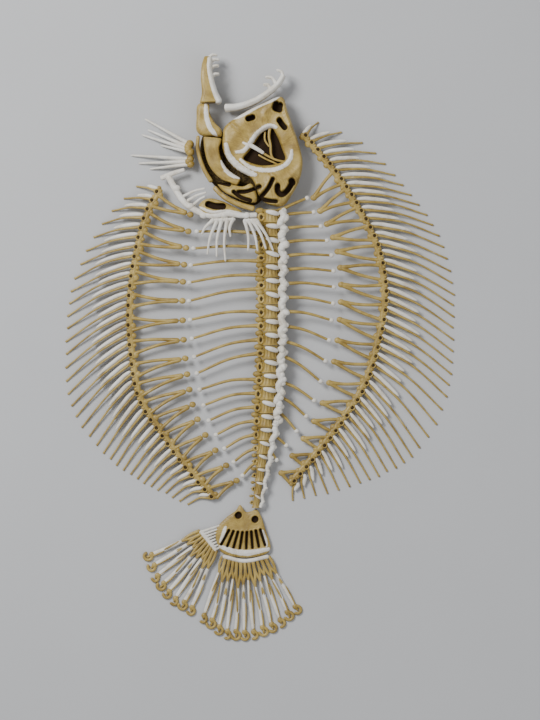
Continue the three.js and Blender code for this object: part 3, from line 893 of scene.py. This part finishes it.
    def build(self) -> None:
        """Make the four lengths, each as one piece."""
        rng = np.random.default_rng(self.seed)
        for part, (first, last) in enumerate(zip(self.cuts[:-1], self.cuts[1:]), start=1):
            surface = Surface()
            for index in range(first, last):
                self.centrum(surface, index)
                self.haemal(surface, index)
            self.rope(surface, first, last, rng)
            for fin in FINS:
                for index in range(fin.first_spine, fin.spines):
                    if first <= fin.vertebra(index) < last:
                        self.spine(surface, fin, index)
            finish_piece(surface, f"spine_column_{part}", Slot.OCHRE, f"backbone_{part}")


# ---- dorsal and anal fins ------------------------------------------------------------
@dataclass
class MedianFin:
    """One long fin: a row of beads, forked supports inside it and rays outside it."""

    plan: FinPlan
    gap: float = 0.35
    spread: float = 0.019
    band: Pair = (4.4, 3.6)
    socket: float = 1.95
    arm: float = 2.6
    knob: float = 2.7
    ray_width: Pair = (2.4, 1.35)
    ray_bow: float = 0.07
    blade_width: float = 3.2
    joint_pitch: float = 2.4

    def raised(self, spots: np.ndarray, share: float) -> np.ndarray:
        """Return the spots at a share of the middle plane's height."""
        return np.column_stack([spots[:, :2], share * LIE.z(spots[:, 1])])

    def on_row(self, lengths: np.ndarray) -> np.ndarray:
        """Return places on the row of beads at shares of its length."""
        row = Route(self.plan.beads)
        return self.raised(row.at(row.shares(lengths)), LIE.fin_share)

    def support(self, surface: Surface, inner: np.ndarray, ends: np.ndarray) -> None:
        """Add one forked support, with the knob at its inner end.

        Args:
            surface: the bone.
            inner: place of the knob.
            ends: places where the arms reach the row of beads.
        """
        leg = ends.mean(axis=0) - inner
        fork = inner + leg * self.plan.neck / np.linalg.norm(leg)
        surface.lump(inner, [self.knob, self.knob * 0.9, 1.9], sides=18, rows=10)
        if self.plan.neck:
            surface.bar([inner, fork], 1.3, sides=8, steps=6, soil=0.8)
        for end in ends:
            arm = end - fork
            bend = across(arm) * 0.03 * np.sign(arm[1])
            surface.bar([fork, fork + 0.5 * arm + bend, end],
                        lambda t: self.arm + 1.3 * hump(t, 0.2) + 0.7 * hump(1.0 - t, 0.12),
                        flat=0.85, sides=14, noses=(0.06, 0.02), soil=0.6, ridge=0.25)

    def ray(self, surface: Surface, base: np.ndarray, tip: np.ndarray, outward: np.ndarray,
            rng: np.random.Generator) -> None:
        """Add one ray: a slim jointed ochre rod, and on its headward side a pale blade, partly a painted
        highlight of the lit side.

        Args:
            surface: the bone.
            base: place on the row of beads.
            tip: place of the ray's end, on the floor.
            outward: unit vector square to the row there.
            rng: source of small differences.
        """
        reach = float(np.linalg.norm(tip - base))
        middle = (base + tip) / 2.0
        middle[1] += self.ray_bow * reach * rng.uniform(0.85, 1.15)
        middle[2] = blend(base[2], tip[2], 0.45)
        root = base + 3.6 * outward
        end = tip + (tip - middle) / reach * rng.uniform(-1.5, 1.0)
        end[2] = tip[2]
        route = Route([root, middle, end])

        def slim(t: np.ndarray) -> np.ndarray:
            """Return the ray's width, pinched at each joint of its outer part."""
            joints = np.cos(TURN * t * reach / self.joint_pitch) < -0.8
            pinched = 1.0 - 0.14 * joints * (t > 0.4)
            return blend(*self.ray_width, t**0.7) * pinched + 0.6 * hump(1.0 - t, 0.035)

        surface.bar(route, slim, flat=0.9, sides=8, steps=56, noses=(0.01, 0.012), soil=0.5,
                    tone=Tone.WARM)
        # The pale blade on the headward, lit side is a bleached half of the ray, and its pale colour is
        # also a painted highlight of that side.
        share = min(0.6, self.plan.blade / reach) * rng.uniform(0.86, 1.12)
        spots = route.at(np.linspace(0.0, share, 6))
        forward = self.plan.side * across(unit(np.gradient(spots, axis=0)))
        blade = spots + forward * np.linspace(2.9, 1.9, 6)[:, None] + [0.0, 0.0, 0.55]
        blade[0] -= 2.0 * outward
        surface.bar(blade, lambda t: self.blade_width * (0.86 + 0.14 * np.sin(np.pi * t) - 0.34 * t**3),
                    (2.3, 1.5), sides=14, steps=24, noses=(0.08, 0.14), tone=Tone.PALE, soil=0.3,
                    ridge=0.2)

    def row(self, surface: Surface, start: float, stop: float, spots: np.ndarray,
            outward: np.ndarray) -> None:
        """Add a length of the row: a band, its lobes and the sockets of the rays, each with a knob in it
        painted dark as the shade inside.

        Args:
            surface: the bone.
            start: where the length begins, as a share of the row.
            stop: where it ends.
            spots: places of its rays on the row.
            outward: unit vectors square to the row there.
        """
        trim = 0.5 * self.gap / travelled(Route(self.plan.beads).at(FINE))[-1]
        path = self.on_row(np.linspace(start + trim, stop - trim, 4 * len(spots)))
        surface.bar(path, *self.band, sides=16, steps=len(path) * 3, noses=(0.012, 0.012), soil=0.5)
        for index, (spot, out) in enumerate(zip(spots, outward)):
            along, size = across(out), 2.3 * (1.0 + 0.24 * math.sin(index * 2.3))
            surface.lump(spot - self.plan.lobe * 0.66 * out + 0.8 * along, [size, size, 1.9],
                         sides=18, rows=12)
            surface.lump(spot + 1.5 * out - 3.4 * along, [1.9, 1.9, 1.8], sides=18, rows=12)
            hole = spot + 1.7 * out + [0.0, 0.0, 1.5]
            surface.ring(hole, (self.socket, self.socket), 1.1)
            # a knob in the socket, painted fully dark as the shade inside it
            surface.lump(hole - [0.0, 0.0, 0.1], [1.7, 1.7, 0.45], soil=1.0)

    def build(self) -> None:
        """Make the fin's lengths, each as a piece of supports and a piece of rays."""
        plan = self.plan
        rng = np.random.default_rng(plan.seed)
        share = (np.arange(plan.rays) + 0.5) / plan.rays
        spots = self.on_row(share)
        outward = unit(plan.side * across(self.on_row(share + 0.004) - self.on_row(share - 0.004)))
        tips = Route(plan.tips).at(Route(plan.beads).shares(share))
        tips[:, 2] = 0.55
        evenly = np.linspace(0.0, 1.0, plan.spines)
        stands = Route([[stand, 0.0] for stand in plan.stands]).at(evenly)[:, 0]
        inner = self.raised(Route(plan.supports).at(evenly), 0.8)
        for part, (start, stop) in enumerate(zip(plan.cuts[:-1], plan.cuts[1:]), start=1):
            base, rays = Surface(), Surface()
            here = (share > start) & (share < stop)
            self.row(base, start, stop, spots[here], outward[here])
            for index in np.flatnonzero((stands > start) & (stands < stop)):
                ends = stands[index] + np.array([-self.spread, self.spread])
                self.support(base, inner[index], self.on_row(ends))
            for spot, tip, out in zip(spots[here], tips[here], outward[here]):
                self.ray(rays, spot, tip, out, rng)
            node = f"{plan.name}_{part}"
            finish_piece(base, f"{node}_supports", Slot.OCHRE, node)
            finish_piece(rays, f"{node}_rays", Slot.PALE)


# ---- head ----------------------------------------------------------------------------
@dataclass(frozen=True)
class Stroke:
    """One slim bony bar: its route, and how a surface carries a section along it."""

    knots: Knots
    width: Size
    height: Size
    tone: Tone = Tone.OCHRE
    square: float = 0.8
    noses: Pair = (0.05, 0.05)
    soil: float = 0.4
    ridge: float = 0.0
    sides: int = 28
    steps: int = 70

    def lay(self, surface: Surface, carving: Optional[Carving] = None) -> None:
        """Add the bar to a bone's surface."""
        settings = vars(self).copy()
        surface.bar(settings.pop("knots"), carving=carving, **settings)


HEAD_MARKS = Carving((
    Mark([[13.2, 193.6], [12.6, 190.6], [15.8, 189.2]], 4.7, -7.0),
    Mark([[16.6, 192.8], [16.0, 190.8], [14.6, 189.4]], 4.1, -7.0),
    Mark([[-8.9, 181.9], [-5.5, 182.9]], 4.3, -7.0),
    Mark([[15.8, 180.6], [18.0, 177.2], [20.0, 174.8]], 4.1, -7.0),
    Mark([[10.6, 133.8], [7.4, 127.2], [3.0, 121.6], [0.8, 119.6]], 3.2, -4.0),
    Mark([[0.6, 118.8], [6.0, 117.0], [13.2, 116.2]], 3.0, -4.0),
    Mark([[14.4, 128.4], [14.6, 124.2], [17.6, 121.6], [21.6, 124.2], [26.2, 131.0]], 4.2, -5.0),
    Mark([[26.2, 131.0], [25.6, 132.2]], 4.9, -5.0),
    Mark([[-32.2, 131.6], [-24.2, 129.6]], 3.4, -4.0),
    Mark([[-16.6, 123.6], [-9.6, 124.2], [0.2, 128.0]], 2.9, -3.2),
    Mark([[-20.4, 123.8], [-14.6, 119.4], [-7.2, 116.9]], 2.9, -3.2),
    Mark([[-42.6, 193.0], [-41.8, 182.0], [-38.8, 174.0], [-34.4, 168.4]], 3.7, 0.7, 1.0),
    Mark([[-26.6, 161.4], [-24.8, 153.4], [-18.4, 145.4], [-9.6, 139.6], [-3.4, 137.4]],
         5.2, 1.4, 1.0),
    Mark([[-30.2, 148.4], [-27.0, 141.6], [-21.4, 137.0], [-15.4, 135.0]], 3.0, 0.5, 1.0),
    Mark([[-18.4, 155.4], [-12.4, 156.6], [-7.2, 162.6], [-2.4, 169.6], [4.2, 174.6],
          [9.0, 176.2], [13.0, 175.0]], 3.8, 0.9, 1.0),
    Mark([[-14.8, 149.2], [-8.0, 143.6], [2.0, 141.0], [12.0, 141.4], [20.4, 145.0],
          [24.6, 150.6], [25.6, 156.6]], 3.5, 0.9, 1.0),
    Mark([[-20.4, 181.8], [-13.0, 184.8], [-2.0, 190.6], [10.0, 196.2], [15.6, 199.6]],
         2.4, 1.0, 1.0),
    Mark([[30.6, 160.0], [26.0, 172.0], [21.6, 184.0], [18.6, 196.0]], 3.6, 1.0),
    Mark([[-22.0, 178.0], [-14.0, 170.0], [-9.0, 163.0]], 4.5, 0.9),
    Mark([[6.0, 180.0], [4.0, 186.0], [9.0, 192.0]], 4.0, 0.8),
    Mark([[8.0, 138.6], [16.0, 133.4], [24.6, 136.6], [31.6, 144.0]], 4.0, 0.9),
))


@dataclass
class Skull:
    """The brain case, the snout and the bones round the orbit, as one bone."""

    outer: Knots = ((18, 112.5), (26, 122), (32, 134), (34.3, 147), (31.5, 161), (27, 175),
        (22.5, 188), (18, 199.3), (2, 194), (-13, 186.4), (-27.6, 175.6), (-29.3, 167),
        (-28.4, 155), (-20, 143), (-6, 134), (2, 117))
    orbit: Knots = ((9, 145.3), (13, 146), (17, 147.3), (20.3, 149.8), (18, 158), (15.4, 165),
        (13, 170), (10.4, 174), (5, 173), (0.6, 169.5), (-3.6, 163), (-8, 156.5), (-12.6, 150.4),
        (-8, 147.5), (-2, 145.7), (3.5, 145))
    bed: Knots = ((-16, 150), (4, 142), (23, 147), (18, 164), (11, 177), (-6, 168))
    centre: Pair = (4.0, 157.0)
    middle: float = 14.5
    rise: float = 5.0
    swells: tuple[tuple[float, float, float, float], ...] = (
        (16.0, 131.0, 17.0, 2.6), (-2.0, 184.0, 15.0, 1.4), (25.0, 172.0, 13.0, 2.2))
    struts: tuple[Stroke, ...] = (
        Stroke([[-14, 163.6, 17.4], [-7, 160.6, 19], [0, 156.6, 19.2], [3.6, 154.2, 18.6]],
               (4.0, 2.6), (3.8, 2.8), Tone.PALE, noses=(0.05, 0.12)),
        Stroke([[2, 155, 17.6], [8, 151.6, 17.6], [14, 149, 17.2], [23, 147.4, 16]],
               (1.9, 1.6), (2.4, 2.0)),
        Stroke([[-1, 153.4, 16.4], [5, 150, 16.4], [11, 147.4, 16], [15, 145.6, 15]],
               (1.5, 1.3), (2.0, 1.6)),
        Stroke([[8.6, 177, 15.4], [7.6, 168, 17], [8.8, 160.6, 17.4], [9.4, 153, 17],
                [12, 149, 16]], (2.4, 1.7), (3.2, 2.6)),
        Stroke([[4.4, 172, 15], [4.4, 165, 16.4], [7.8, 159.6, 16.6]], (1.7, 1.3), (2.0, 1.6)))

    def half_height(self, x: np.ndarray, y: np.ndarray) -> np.ndarray:
        """Return half the bone's thickness: even, with round swells added."""
        half = np.full(x.shape, self.rise)
        for spot_x, spot_y, spread, extra in self.swells:
            away = ((x - spot_x) ** 2 + (y - spot_y) ** 2) / spread**2
            half = half + extra * np.exp(-away)
        return half

    def build(self) -> None:
        """Make the skull, the plate under its orbit painted dark as the shade in the orbit, and the slim
        bars that cross it.
        """
        surface = Surface()
        surface.collar(self.outer, self.orbit, self.centre,
                       Slab(self.middle, self.half_height, 9.0, HEAD_MARKS))
        # plate under the orbit, painted dark all over as the shade inside the orbit
        surface.plate(self.bed, Slab(11.5, 1.6, 3.0, soil=1.6), 90, 20)
        for strut in self.struts:
            strut.lay(surface)
        finish_piece(surface, "skull_bone", Slot.OCHRE, "skull")


@dataclass(frozen=True)
class Jaw:
    """A jaw of both sides that meet at the chin, with its curved teeth.

    Each knot's last number is its reach off the middle height.
    """

    name: str
    node: str
    slot: Slot
    bars: tuple[Stroke, ...]
    chin: Stroke
    teeth: tuple[Knots, ...]
    middle: float = 13.5
    tooth: float = 2.7

    def branch(self, knots: Knots, side: float) -> list[list[float]]:
        """Return the route of a branch on one side."""
        return [[x, y, self.middle + side * out] for x, y, out in knots]

    def tooth_size(self, t: np.ndarray) -> np.ndarray:
        """Return a tooth's thickness at shares of it, from a stout root to its point."""
        return self.tooth * (1.0 - 0.4 * t) + hump(t, 0.2)

    def build(self) -> None:
        """Make the jaw: its bars and teeth on either side, and the bar that joins them."""
        surface = Surface()
        for side in (1.0, -1.0):
            for bar in self.bars:
                replace(bar, knots=self.branch(bar.knots, side)).lay(surface)
            for tooth in self.teeth:
                surface.bar(self.branch(tooth, side), self.tooth_size,
                            sides=16, steps=24, noses=(0.03, 0.14), tone=Tone.PALE, soil=0.2)
        replace(self.chin, knots=self.branch(self.chin.knots, 0.0)).lay(surface)
        finish_piece(surface, self.name, self.slot, self.node)


JAWS = (
    Jaw("upper_jaw_bone", "upper_jaw", Slot.PALE, (
        Stroke([[-28, 190.5, 5.5], [-16, 191.8, 6], [-4, 196, 6], [8, 203.6, 5], [15, 210, 3.5],
                [19.5, 217, 1]], lambda t: blend(5.2, 4.2, t) + 0.9 * hump(t, 0.08), 4.8,
               Tone.PALE, 1.0, (0.03, 0.05), soil=0.5, ridge=0.2, steps=90),),
        Stroke([[8, 203.6, 0], [15, 210, 0], [19.5, 217, 0]], 3.2, 6.0, Tone.PALE, 1.0,
               (0.03, 0.03), soil=0.0, sides=16, steps=30),
        ([[18.6, 214.6, 2.0], [17.6, 219.4, 2.0], [13.4, 221.2, 2.0]],
         [[13.4, 209.6, 3.5], [9.6, 214.8, 3.5], [4.6, 215.3, 3.5]],
         [[9.0, 205.4, 4.5], [6.6, 209.0, 4.5], [2.8, 209.3, 4.5]])),
    Jaw("lower_jaw_bone", "lower_jaw", Slot.OCHRE, (
        Stroke([[-39.6, 195, 5.5], [-40, 203, 6], [-42, 214, 6], [-42.3, 224, 4.5],
                [-41, 231.5, 1.5]], lambda t: blend(17.0, 5.5, t**0.55), (7.0, 5.0), Tone.OCHRE,
               0.55, (0.015, 0.06), sides=36, steps=90),
        Stroke([[-31.6, 194.2, 6.4], [-35.4, 202, 6.9], [-38.4, 212, 6.9], [-40.2, 223, 5.4],
                [-39.6, 230.6, 2.6]], (5.4, 4.6), (6.0, 5.2), Tone.PALE, 1.0, (0.06, 0.05),
               ridge=0.2, sides=24)),
        Stroke([[-42, 214, 0], [-42.3, 224, 0], [-41, 231.5, 0]], (6.5, 5.0), 7.0, Tone.OCHRE,
               1.0, (0.03, 0.03), soil=0.0, sides=20, steps=30),
        ([[-40.6, 230.0, 1.5], [-37.6, 233.0, 1.5], [-33.4, 232.6, 1.5]],
         [[-40.0, 226.2, 2.8], [-36.4, 229.2, 2.8], [-31.8, 229.0, 2.8]],
         [[-39.6, 221.4, 4.1], [-35.8, 224.0, 4.1], [-32.0, 224.2, 4.1]],
         [[-38.6, 215.6, 5.4], [-35.4, 217.4, 5.4], [-31.8, 217.6, 5.4]])),
)


@dataclass(frozen=True)
class Cover:
    """One plate or bar of the cheek and the gill covers."""

    name: str
    node: str
    form: Stroke | tuple[Knots, float, float]
    carving: Carving = HEAD_MARKS
    # painted shade, spread evenly over the plate
    soil: float = 0.0

    def build(self) -> None:
        """Make the bone."""
        surface = Surface()
        if isinstance(self.form, Stroke):
            replace(self.form, sides=52, steps=120).lay(surface, self.carving)
        else:
            outline, middle, rise = self.form
            surface.plate(outline, Slab(middle, rise, 10.0, self.carving, self.soil), 160, 56)
        finish_piece(surface, self.name, Slot.OCHRE, self.node)


GILL_COVERS = (
    Cover("cheek_bone", "cheek", (
        [[-48.8, 193.6], [-50.2, 182], [-50, 172.6], [-46, 168.7], [-38, 168.4],
         [-30.4, 168], [-30.4, 173.6], [-35.4, 179], [-39.6, 187], [-40.4, 194]], 14.0, 6.0)),
    Cover("preopercle_bone", "preopercle", Stroke(
        [[-37.2, 167.4, 14], [-38, 158.6, 14], [-35, 147, 13.5], [-27, 137.5, 13],
         [-16, 131.6, 12.5]], lambda t: blend(9.8, 6.5, t) + 2.8 * np.sin(np.pi * t)
        + 4.4 * hump(t, 0.2), 8.0, square=0.45, noses=(0.015, 0.03))),
    Cover("interopercle_bone", "interopercle", Stroke(
        [[-48.9, 169, 12], [-49, 158, 12], [-44.6, 143, 12], [-38, 131.6, 12]], (2.8, 3.6),
        7.0, square=0.6)),
    Cover("opercle_bone", "opercle", (
        [[-33.4, 131], [-29, 124.4], [-19, 119.2], [-10, 116], [-2.6, 115.8], [-2.2, 122],
         [-6.6, 130.4], [-13, 128.2], [-25, 130.4]], 16.0, 4.5)),
    Cover("subopercle_bone", "subopercle", Stroke(
        [[-36.4, 128, 12], [-28, 120, 14], [-15, 113.6, 15], [-3.6, 110.4, 15]], (3.8, 4.6),
        5.0, square=0.6)),
    # the blind-side cover lies under the others and is painted dark all over, as their shade
    Cover("gill_cover_underneath", "gill_cover_blind_side", (
        [[-45, 170], [-47, 150], [-38, 132], [-22, 120], [-4, 114], [5, 124], [-4, 142],
         [-20, 158], [-34, 176]], 1.9, 3.0), Carving(uneven=0.15), 0.95),
)


# ---- shoulder and paired fins --------------------------------------------------------
@dataclass
class Shoulder:
    """The curved bone behind the head that carries the pectoral fins."""

    marks: Carving = Carving((
        Mark([[-40.6, 114.0], [-35.4, 112.4], [-29.0, 112.2]], 4.8, -4.2),
        Mark([[-47.6, 111.6], [-38.0, 107.8], [-26.0, 108.6], [-14.0, 106.8]], 2.2, 0.8, 1.0),
        Mark([[-43.0, 117.0], [-33.0, 116.6], [-24.0, 113.0]], 2.4, 0.8)))
    arms: tuple[Stroke, ...] = (
        Stroke([[-73.5, 138, 9], [-65.6, 124, 10], [-59.2, 115.2, 12], [-48, 108, 14],
                [-37.6, 105, 16], [-25.6, 106.5, 17], [-12, 105, 17], [-1.5, 105.5, 16]],
               (5.2, 4.4), (4.8, 4.8), Tone.PALE, 0.9, (0.02, 0.02)),
        Stroke([[-59.5, 142, 9], [-69, 139, 9], [-79, 135, 8]], (3.2, 4.2), 3.8, Tone.PALE),
        *(Stroke(spur, (2.4, 1.7), (2.4, 1.8), Tone.PALE, 1.0, (0.05, 0.08)) for spur in (
            [[-61, 120.5, 12], [-52, 124.6, 14.2], [-43, 126.8, 15]],
            [[-57.6, 117, 12], [-49.8, 121.2, 14.2], [-42, 123.6, 15]],
            [[-53, 113.5, 12], [-48, 117.8, 14.2], [-43, 120.5, 15]])))

    def build(self) -> None:
        """Make the girdle as one bone."""
        surface = Surface()
        for arm in self.arms:
            replace(arm, sides=24, steps=110).lay(surface)
        surface.plate([[-48, 113], [-44, 107], [-34, 104.5], [-22, 106.5], [-14, 108],
                       [-22, 113], [-32, 117.5], [-42, 118.5]], Slab(15.5, 3.0, 4.0, self.marks),
                      140, 50)
        for x, y, z in ((-66, 127, 10.6), (-55, 112.6, 13.6), (-44.4, 105.4, 15.6),
                        (-28, 105.4, 17.2), (-10, 105, 17.6)):
            surface.lump([x, y, z], [3.2, 2.7, 2.6], tone=Tone.PALE, sides=18, rows=12)
        finish_piece(surface, "shoulder_bones", Slot.PALE, "shoulder_girdle")


@dataclass(frozen=True)
class Fan:
    """A fin's base and the rays that spread from it."""

    name: str
    node: str
    base: Knots
    tips: Knots
    rays: int
    base_size: float
    ray_width: Pair
    ray_height: Pair
    bow: float = 0.0
    base_tone: Tone = Tone.PALE

    def lines(self) -> list[tuple[np.ndarray, np.ndarray]]:
        """Return the root and the tip of each ray."""
        roots = Route(self.base).at((np.arange(self.rays) + 0.5) / self.rays)
        return list(zip(roots, Route(self.tips).at(np.linspace(0.0, 1.0, self.rays))))

    def build(self) -> None:
        """Make the fin: a knobbed base, and rays that bow and taper outward."""
        surface = Surface()
        surface.bar(self.base, self.base_size, flat=0.9, sides=20, steps=40,
                    noses=(0.08, 0.08), tone=self.base_tone, soil=0.5)
        for root, tip in self.lines():
            middle = 0.5 * (root + tip) + [self.bow, 0.0, 0.0]
            middle[2] = max(blend(root[2], tip[2], 0.4), tip[2])
            surface.lump(root, [self.base_size * 0.6] * 3, tone=self.base_tone, sides=16, rows=10)
            surface.bar([root, middle, tip],
                        lambda t: blend(*self.ray_width, t) + 0.7 * hump(t, 0.1), self.ray_height,
                        sides=16, steps=50, noses=(0.02, 0.05), soil=0.5, ridge=0.3,
                        tone=Tone.PALE)
        finish_piece(surface, self.name, Slot.PALE, self.node)


PAIRED_FINS = (
    Fan("pectoral_fin_outer_bones", "pectoral_fin_outer",
        [[-39, 101, 17], [-30, 101.6, 17.5], [-19, 102, 17.5]],
        [[-46, 90, 15], [-41.5, 74, 15], [-34, 72, 16], [-27, 68.4, 17], [-23, 88, 18]], 5, 3.0,
        (3.0, 1.5), (2.5, 1.4), -1.6),
    Fan("pectoral_fin_inner_bones", "pectoral_fin_inner",
        [[-13, 100.6, 20], [-7, 101, 21.6], [-1, 101, 23.6]],
        [[-9, 76.6, 19], [-1.4, 76.6, 21.5], [5.2, 78, 23.6], [11, 76.6, 23.6]], 4, 2.8,
        (2.9, 1.5), (2.4, 1.4), 1.4),
    Fan("pelvic_fin_eyed_side_bones", "pelvic_fin_eyed_side",
        [[-55, 163.5, 9], [-57, 159, 9], [-54.5, 155, 9]],
        [[-92, 183.2, 0.7], [-89.6, 174.4, 0.7], [-94.4, 170.4, 0.7], [-79.2, 162, 0.7]], 4,
        5.7, (3.3, 1.5), (2.8, 1.3), base_tone=Tone.OCHRE),
    Fan("pelvic_fin_blind_side_bones", "pelvic_fin_blind_side",
        [[-54.5, 151.5, 8], [-56.5, 148.5, 8], [-54, 145.5, 8]],
        [[-103.2, 154, 0.7], [-97, 147.5, 0.7], [-88, 143, 0.7]], 3, 5.2, (3.2, 1.5),
        (2.8, 1.3), base_tone=Tone.OCHRE),
)


# ---- tail ----------------------------------------------------------------------------
@dataclass(frozen=True)
class TailFan(Fan):
    """A part of the tail fin: ochre forks, pale tapering rays and hooked ochre tips."""

    hook: float = 3.0
    fork: float = 0.3
    inner: Knots = ()

    def build(self) -> None:
        """Make the rays, each with its fork, its blade, a side stroke and its hook."""
        surface = Surface()
        surface.bar(self.base, self.base_size, flat=0.9, sides=20, steps=60,
                    noses=(0.04, 0.04), tone=Tone.PALE, soil=0.5)
        lines = self.lines()
        half = 0.5 * np.linalg.norm(lines[1][0] - lines[0][0])
        if self.inner:
            starts = Route(self.inner).at(np.linspace(0.0, 1.0, self.rays))
            for start, (root, _) in zip(starts, lines):
                surface.bar([start, 0.5 * (start + root), root], (1.2, 2.2), (1.6, 2.2),
                            sides=12, steps=16, noses=(0.1, 0.02), tone=Tone.PALE, soil=0.4)
        for index, (root, tip) in enumerate(lines):
            leg = tip - root
            reach = float(np.linalg.norm(leg))
            ahead = leg / reach
            side = across(ahead)
            wave = math.sin(index * 2.1)
            join = root + (self.fork + 0.06 * wave) * leg
            join[2] = root[2]
            for hand in (1.0, -1.0):
                foot = root + hand * half * side
                bend = 0.5 * (foot + join) + 0.9 * hand * side
                reach_on = 0.2 + 0.14 * wave * hand
                surface.bar([foot, bend, join, join + reach_on * leg + 0.5 * hand * side],
                            (2.6 + 0.4 * wave, 1.7), 2.0, sides=12, steps=30, noses=(0.06, 0.1),
                            soil=0.5)
            stop = root + (1.0 - 2.4 * self.hook / reach) * leg
            middle = 0.5 * (join + stop) + 0.5 * wave * side
            surface.bar([join - 0.04 * leg, middle, stop], self.ray_width, self.ray_height,
                        sides=14, steps=40, noses=(0.12, 0.03), tone=Tone.PALE, soil=0.4, ridge=0.3)
            edge = root + (0.52 + 0.16 * wave) * leg + 0.42 * self.ray_width[1] * side
            edge[2] = blend(root[2], 1.0, 0.5)
            surface.bar([edge, edge + 0.15 * leg, tip - 0.6 * self.hook * ahead], (1.2, 1.9),
                        (1.8, 1.6), sides=10, steps=20, noses=(0.1, 0.06), soil=0.4)
            heading = math.atan2(ahead[1], ahead[0])
            radius = self.hook * (1.0 + 0.14 * wave)
            centre = tip - radius * ahead
            centre[2] = 1.0
            surface.ring(centre, (radius, radius * (1.0 - 0.1 * wave)), 2.5, heading + math.pi,
                         -4.4 - 0.6 * wave)
            surface.lump(centre - radius * ahead, [2.3, 2.3, 1.3], sides=14, rows=10)
        finish_piece(surface, self.name, Slot.PALE, self.node)


@dataclass
class Tail:
    """The tail plate and the two groups of rays behind it."""

    outline: Knots = ((-15.5, -125.5), (-19, -130), (-27, -136), (-35, -146), (-33.5, -157),
        (-30, -163.5), (-12, -167.5), (6, -164), (8.8, -160), (4.8, -145), (1, -134), (-2.4, -129),
        (-6.5, -130.5), (-11, -131))
    slots: int = 8
    slot_half: float = 6.4
    rays: tuple[TailFan, ...] = (
        TailFan("tail_fin_main_rays", "tail_fin_main",
                [[7.5, -166.6, 3.2], [-12, -170.2, 3.2], [-29.6, -166.4, 3.2]],
                [[31.5, -212, 0.6], [13, -226, 0.6], [-8, -233, 0.6], [-28, -231.5, 0.6],
                 [-46, -219, 0.6]], 12, 3.2, (2.3, 3.1), (2.0, 1.2)),
        TailFan("tail_fin_lobe_rays", "tail_fin_lobe",
                [[-34.5, -162, 3.2], [-41, -154, 3.2], [-47.5, -146, 3.2]],
                [[-56, -213, 0.6], [-72, -203, 0.6], [-84, -188, 0.6], [-92, -168, 0.6]], 8,
                3.2, (2.8, 3.6), (2.0, 1.2), hook=2.9,
                inner=[[-31.5, -159.5, 3.2], [-35.0, -151.5, 3.2], [-30.5, -141.5, 3.2]]))

    def marks(self) -> Carving:
        """Return the plate's two round openings, its slots, its pale base and its edges."""
        marks = [Mark([[-17.0, -133.9], [-16.8, -133.7]], 5.2, -2.6),
                 Mark([[-3.7, -137.1], [-3.5, -136.9]], 5.2, -2.6)]
        for share in np.linspace(0.0, 1.0, self.slots):
            spot = np.array([blend(-27.5, 2.6, share), -151.4 - 2.4 * math.sin(math.pi * share)])
            lean = blend(-0.5, 0.3, share)
            reach = self.slot_half * np.array([-math.sin(lean), math.cos(lean)])
            marks.append(Mark([spot + reach, spot - reach], 1.9, -2.4))
        marks += [Mark([[-31.4, -158.6], [-20.0, -162.6], [-8.0, -163.6], [7.0, -160.6]], 4.4, 0.5,
                       1.0),
                  Mark([[-27.0, -143.0], [-31.4, -155.0]], 2.8, 0.4, 1.0),
                  Mark([[2.6, -146.0], [5.6, -158.0]], 3.0, 0.4, 1.0)]
        return Carving(tuple(marks), 0.12)

    def build(self) -> None:
        """Make the plate and both groups of rays."""
        plate = Surface()
        plate.plate(self.outline, Slab(3.1, 1.75, 9.0, self.marks()), 260, 110)
        finish_piece(plate, "tail_plate_bone", Slot.OCHRE, "tail_plate")
        for fan in self.rays:
            fan.build()


# ---- studio --------------------------------------------------------------------------
@dataclass(frozen=True)
class Lamp:
    """A square soft light: its place, its side in metres and its power in watts."""

    name: str
    place: Triple
    side: float
    power: float


@dataclass
class Studio:
    """A pale table top, a large key light, a weak fill and a camera straight above."""

    lamps: tuple[Lamp, ...] = (
        Lamp("key", (-0.75, 0.65, 1.15), 0.5, 21.0),
        Lamp("fill", (0.9, -0.5, 1.2), 1.4, 4.0))
    air: Colour = (0.93, 0.95, 1.0, 1.0)
    air_strength: float = 0.42
    floor_side: float = 6.0
    camera_place: Triple = (0.008, -0.0096, 2.4)
    lens: float = 150.0

    def floor(self) -> None:
        """Lay the table top, its upper face at the floor's level."""
        half = self.floor_side / 2.0
        mesh = bpy.data.meshes.new("table_top")
        mesh.from_pydata([(-half, -half, 0.0), (half, -half, 0.0), (half, half, 0.0),
                          (-half, half, 0.0)], [], [(0, 1, 2, 3)])
        mesh.materials.append(FloorFinish().material())
        placed("table_top", mesh)

    def lights(self) -> None:
        """Hang the lamps, aimed at the middle of the table, and light the air a little."""
        for lamp in self.lamps:
            light = bpy.data.lights.new(lamp.name, "AREA")
            light.shape = "SQUARE"
            light.size = lamp.side
            light.energy = lamp.power
            holder = placed(lamp.name, light)
            holder.location = lamp.place
            holder.rotation_euler = Vector(lamp.place).to_track_quat("Z", "Y").to_euler()
        world = bpy.data.worlds.new("air")
        world.use_nodes = True
        back = world.node_tree.nodes["Background"]
        back.inputs["Color"].default_value = self.air
        back.inputs["Strength"].default_value = self.air_strength
        bpy.context.scene.world = world

    def camera(self) -> None:
        """Set the camera straight above the table, its top towards the head."""
        camera = bpy.data.cameras.new("camera")
        camera.lens = self.lens
        camera.dof.use_dof = False
        holder = placed("camera", camera)
        holder.location = self.camera_place
        bpy.context.scene.camera = holder

    def build(self) -> None:
        """Set up the floor, the lights and the camera."""
        self.floor()
        self.lights()
        self.camera()


# ---- the whole model -----------------------------------------------------------------
def main() -> None:
    """Build every bone and the studio, and log the face count of each new piece."""
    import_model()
    for part in (Backbone(), *(MedianFin(plan) for plan in FINS), Skull(), *JAWS,
                 *GILL_COVERS, Shoulder(), *PAIRED_FINS, Tail(), Studio()):
        part.build()


if __name__ == "__main__":
    logging.basicConfig(level=logging.INFO, format="%(message)s")
    main()
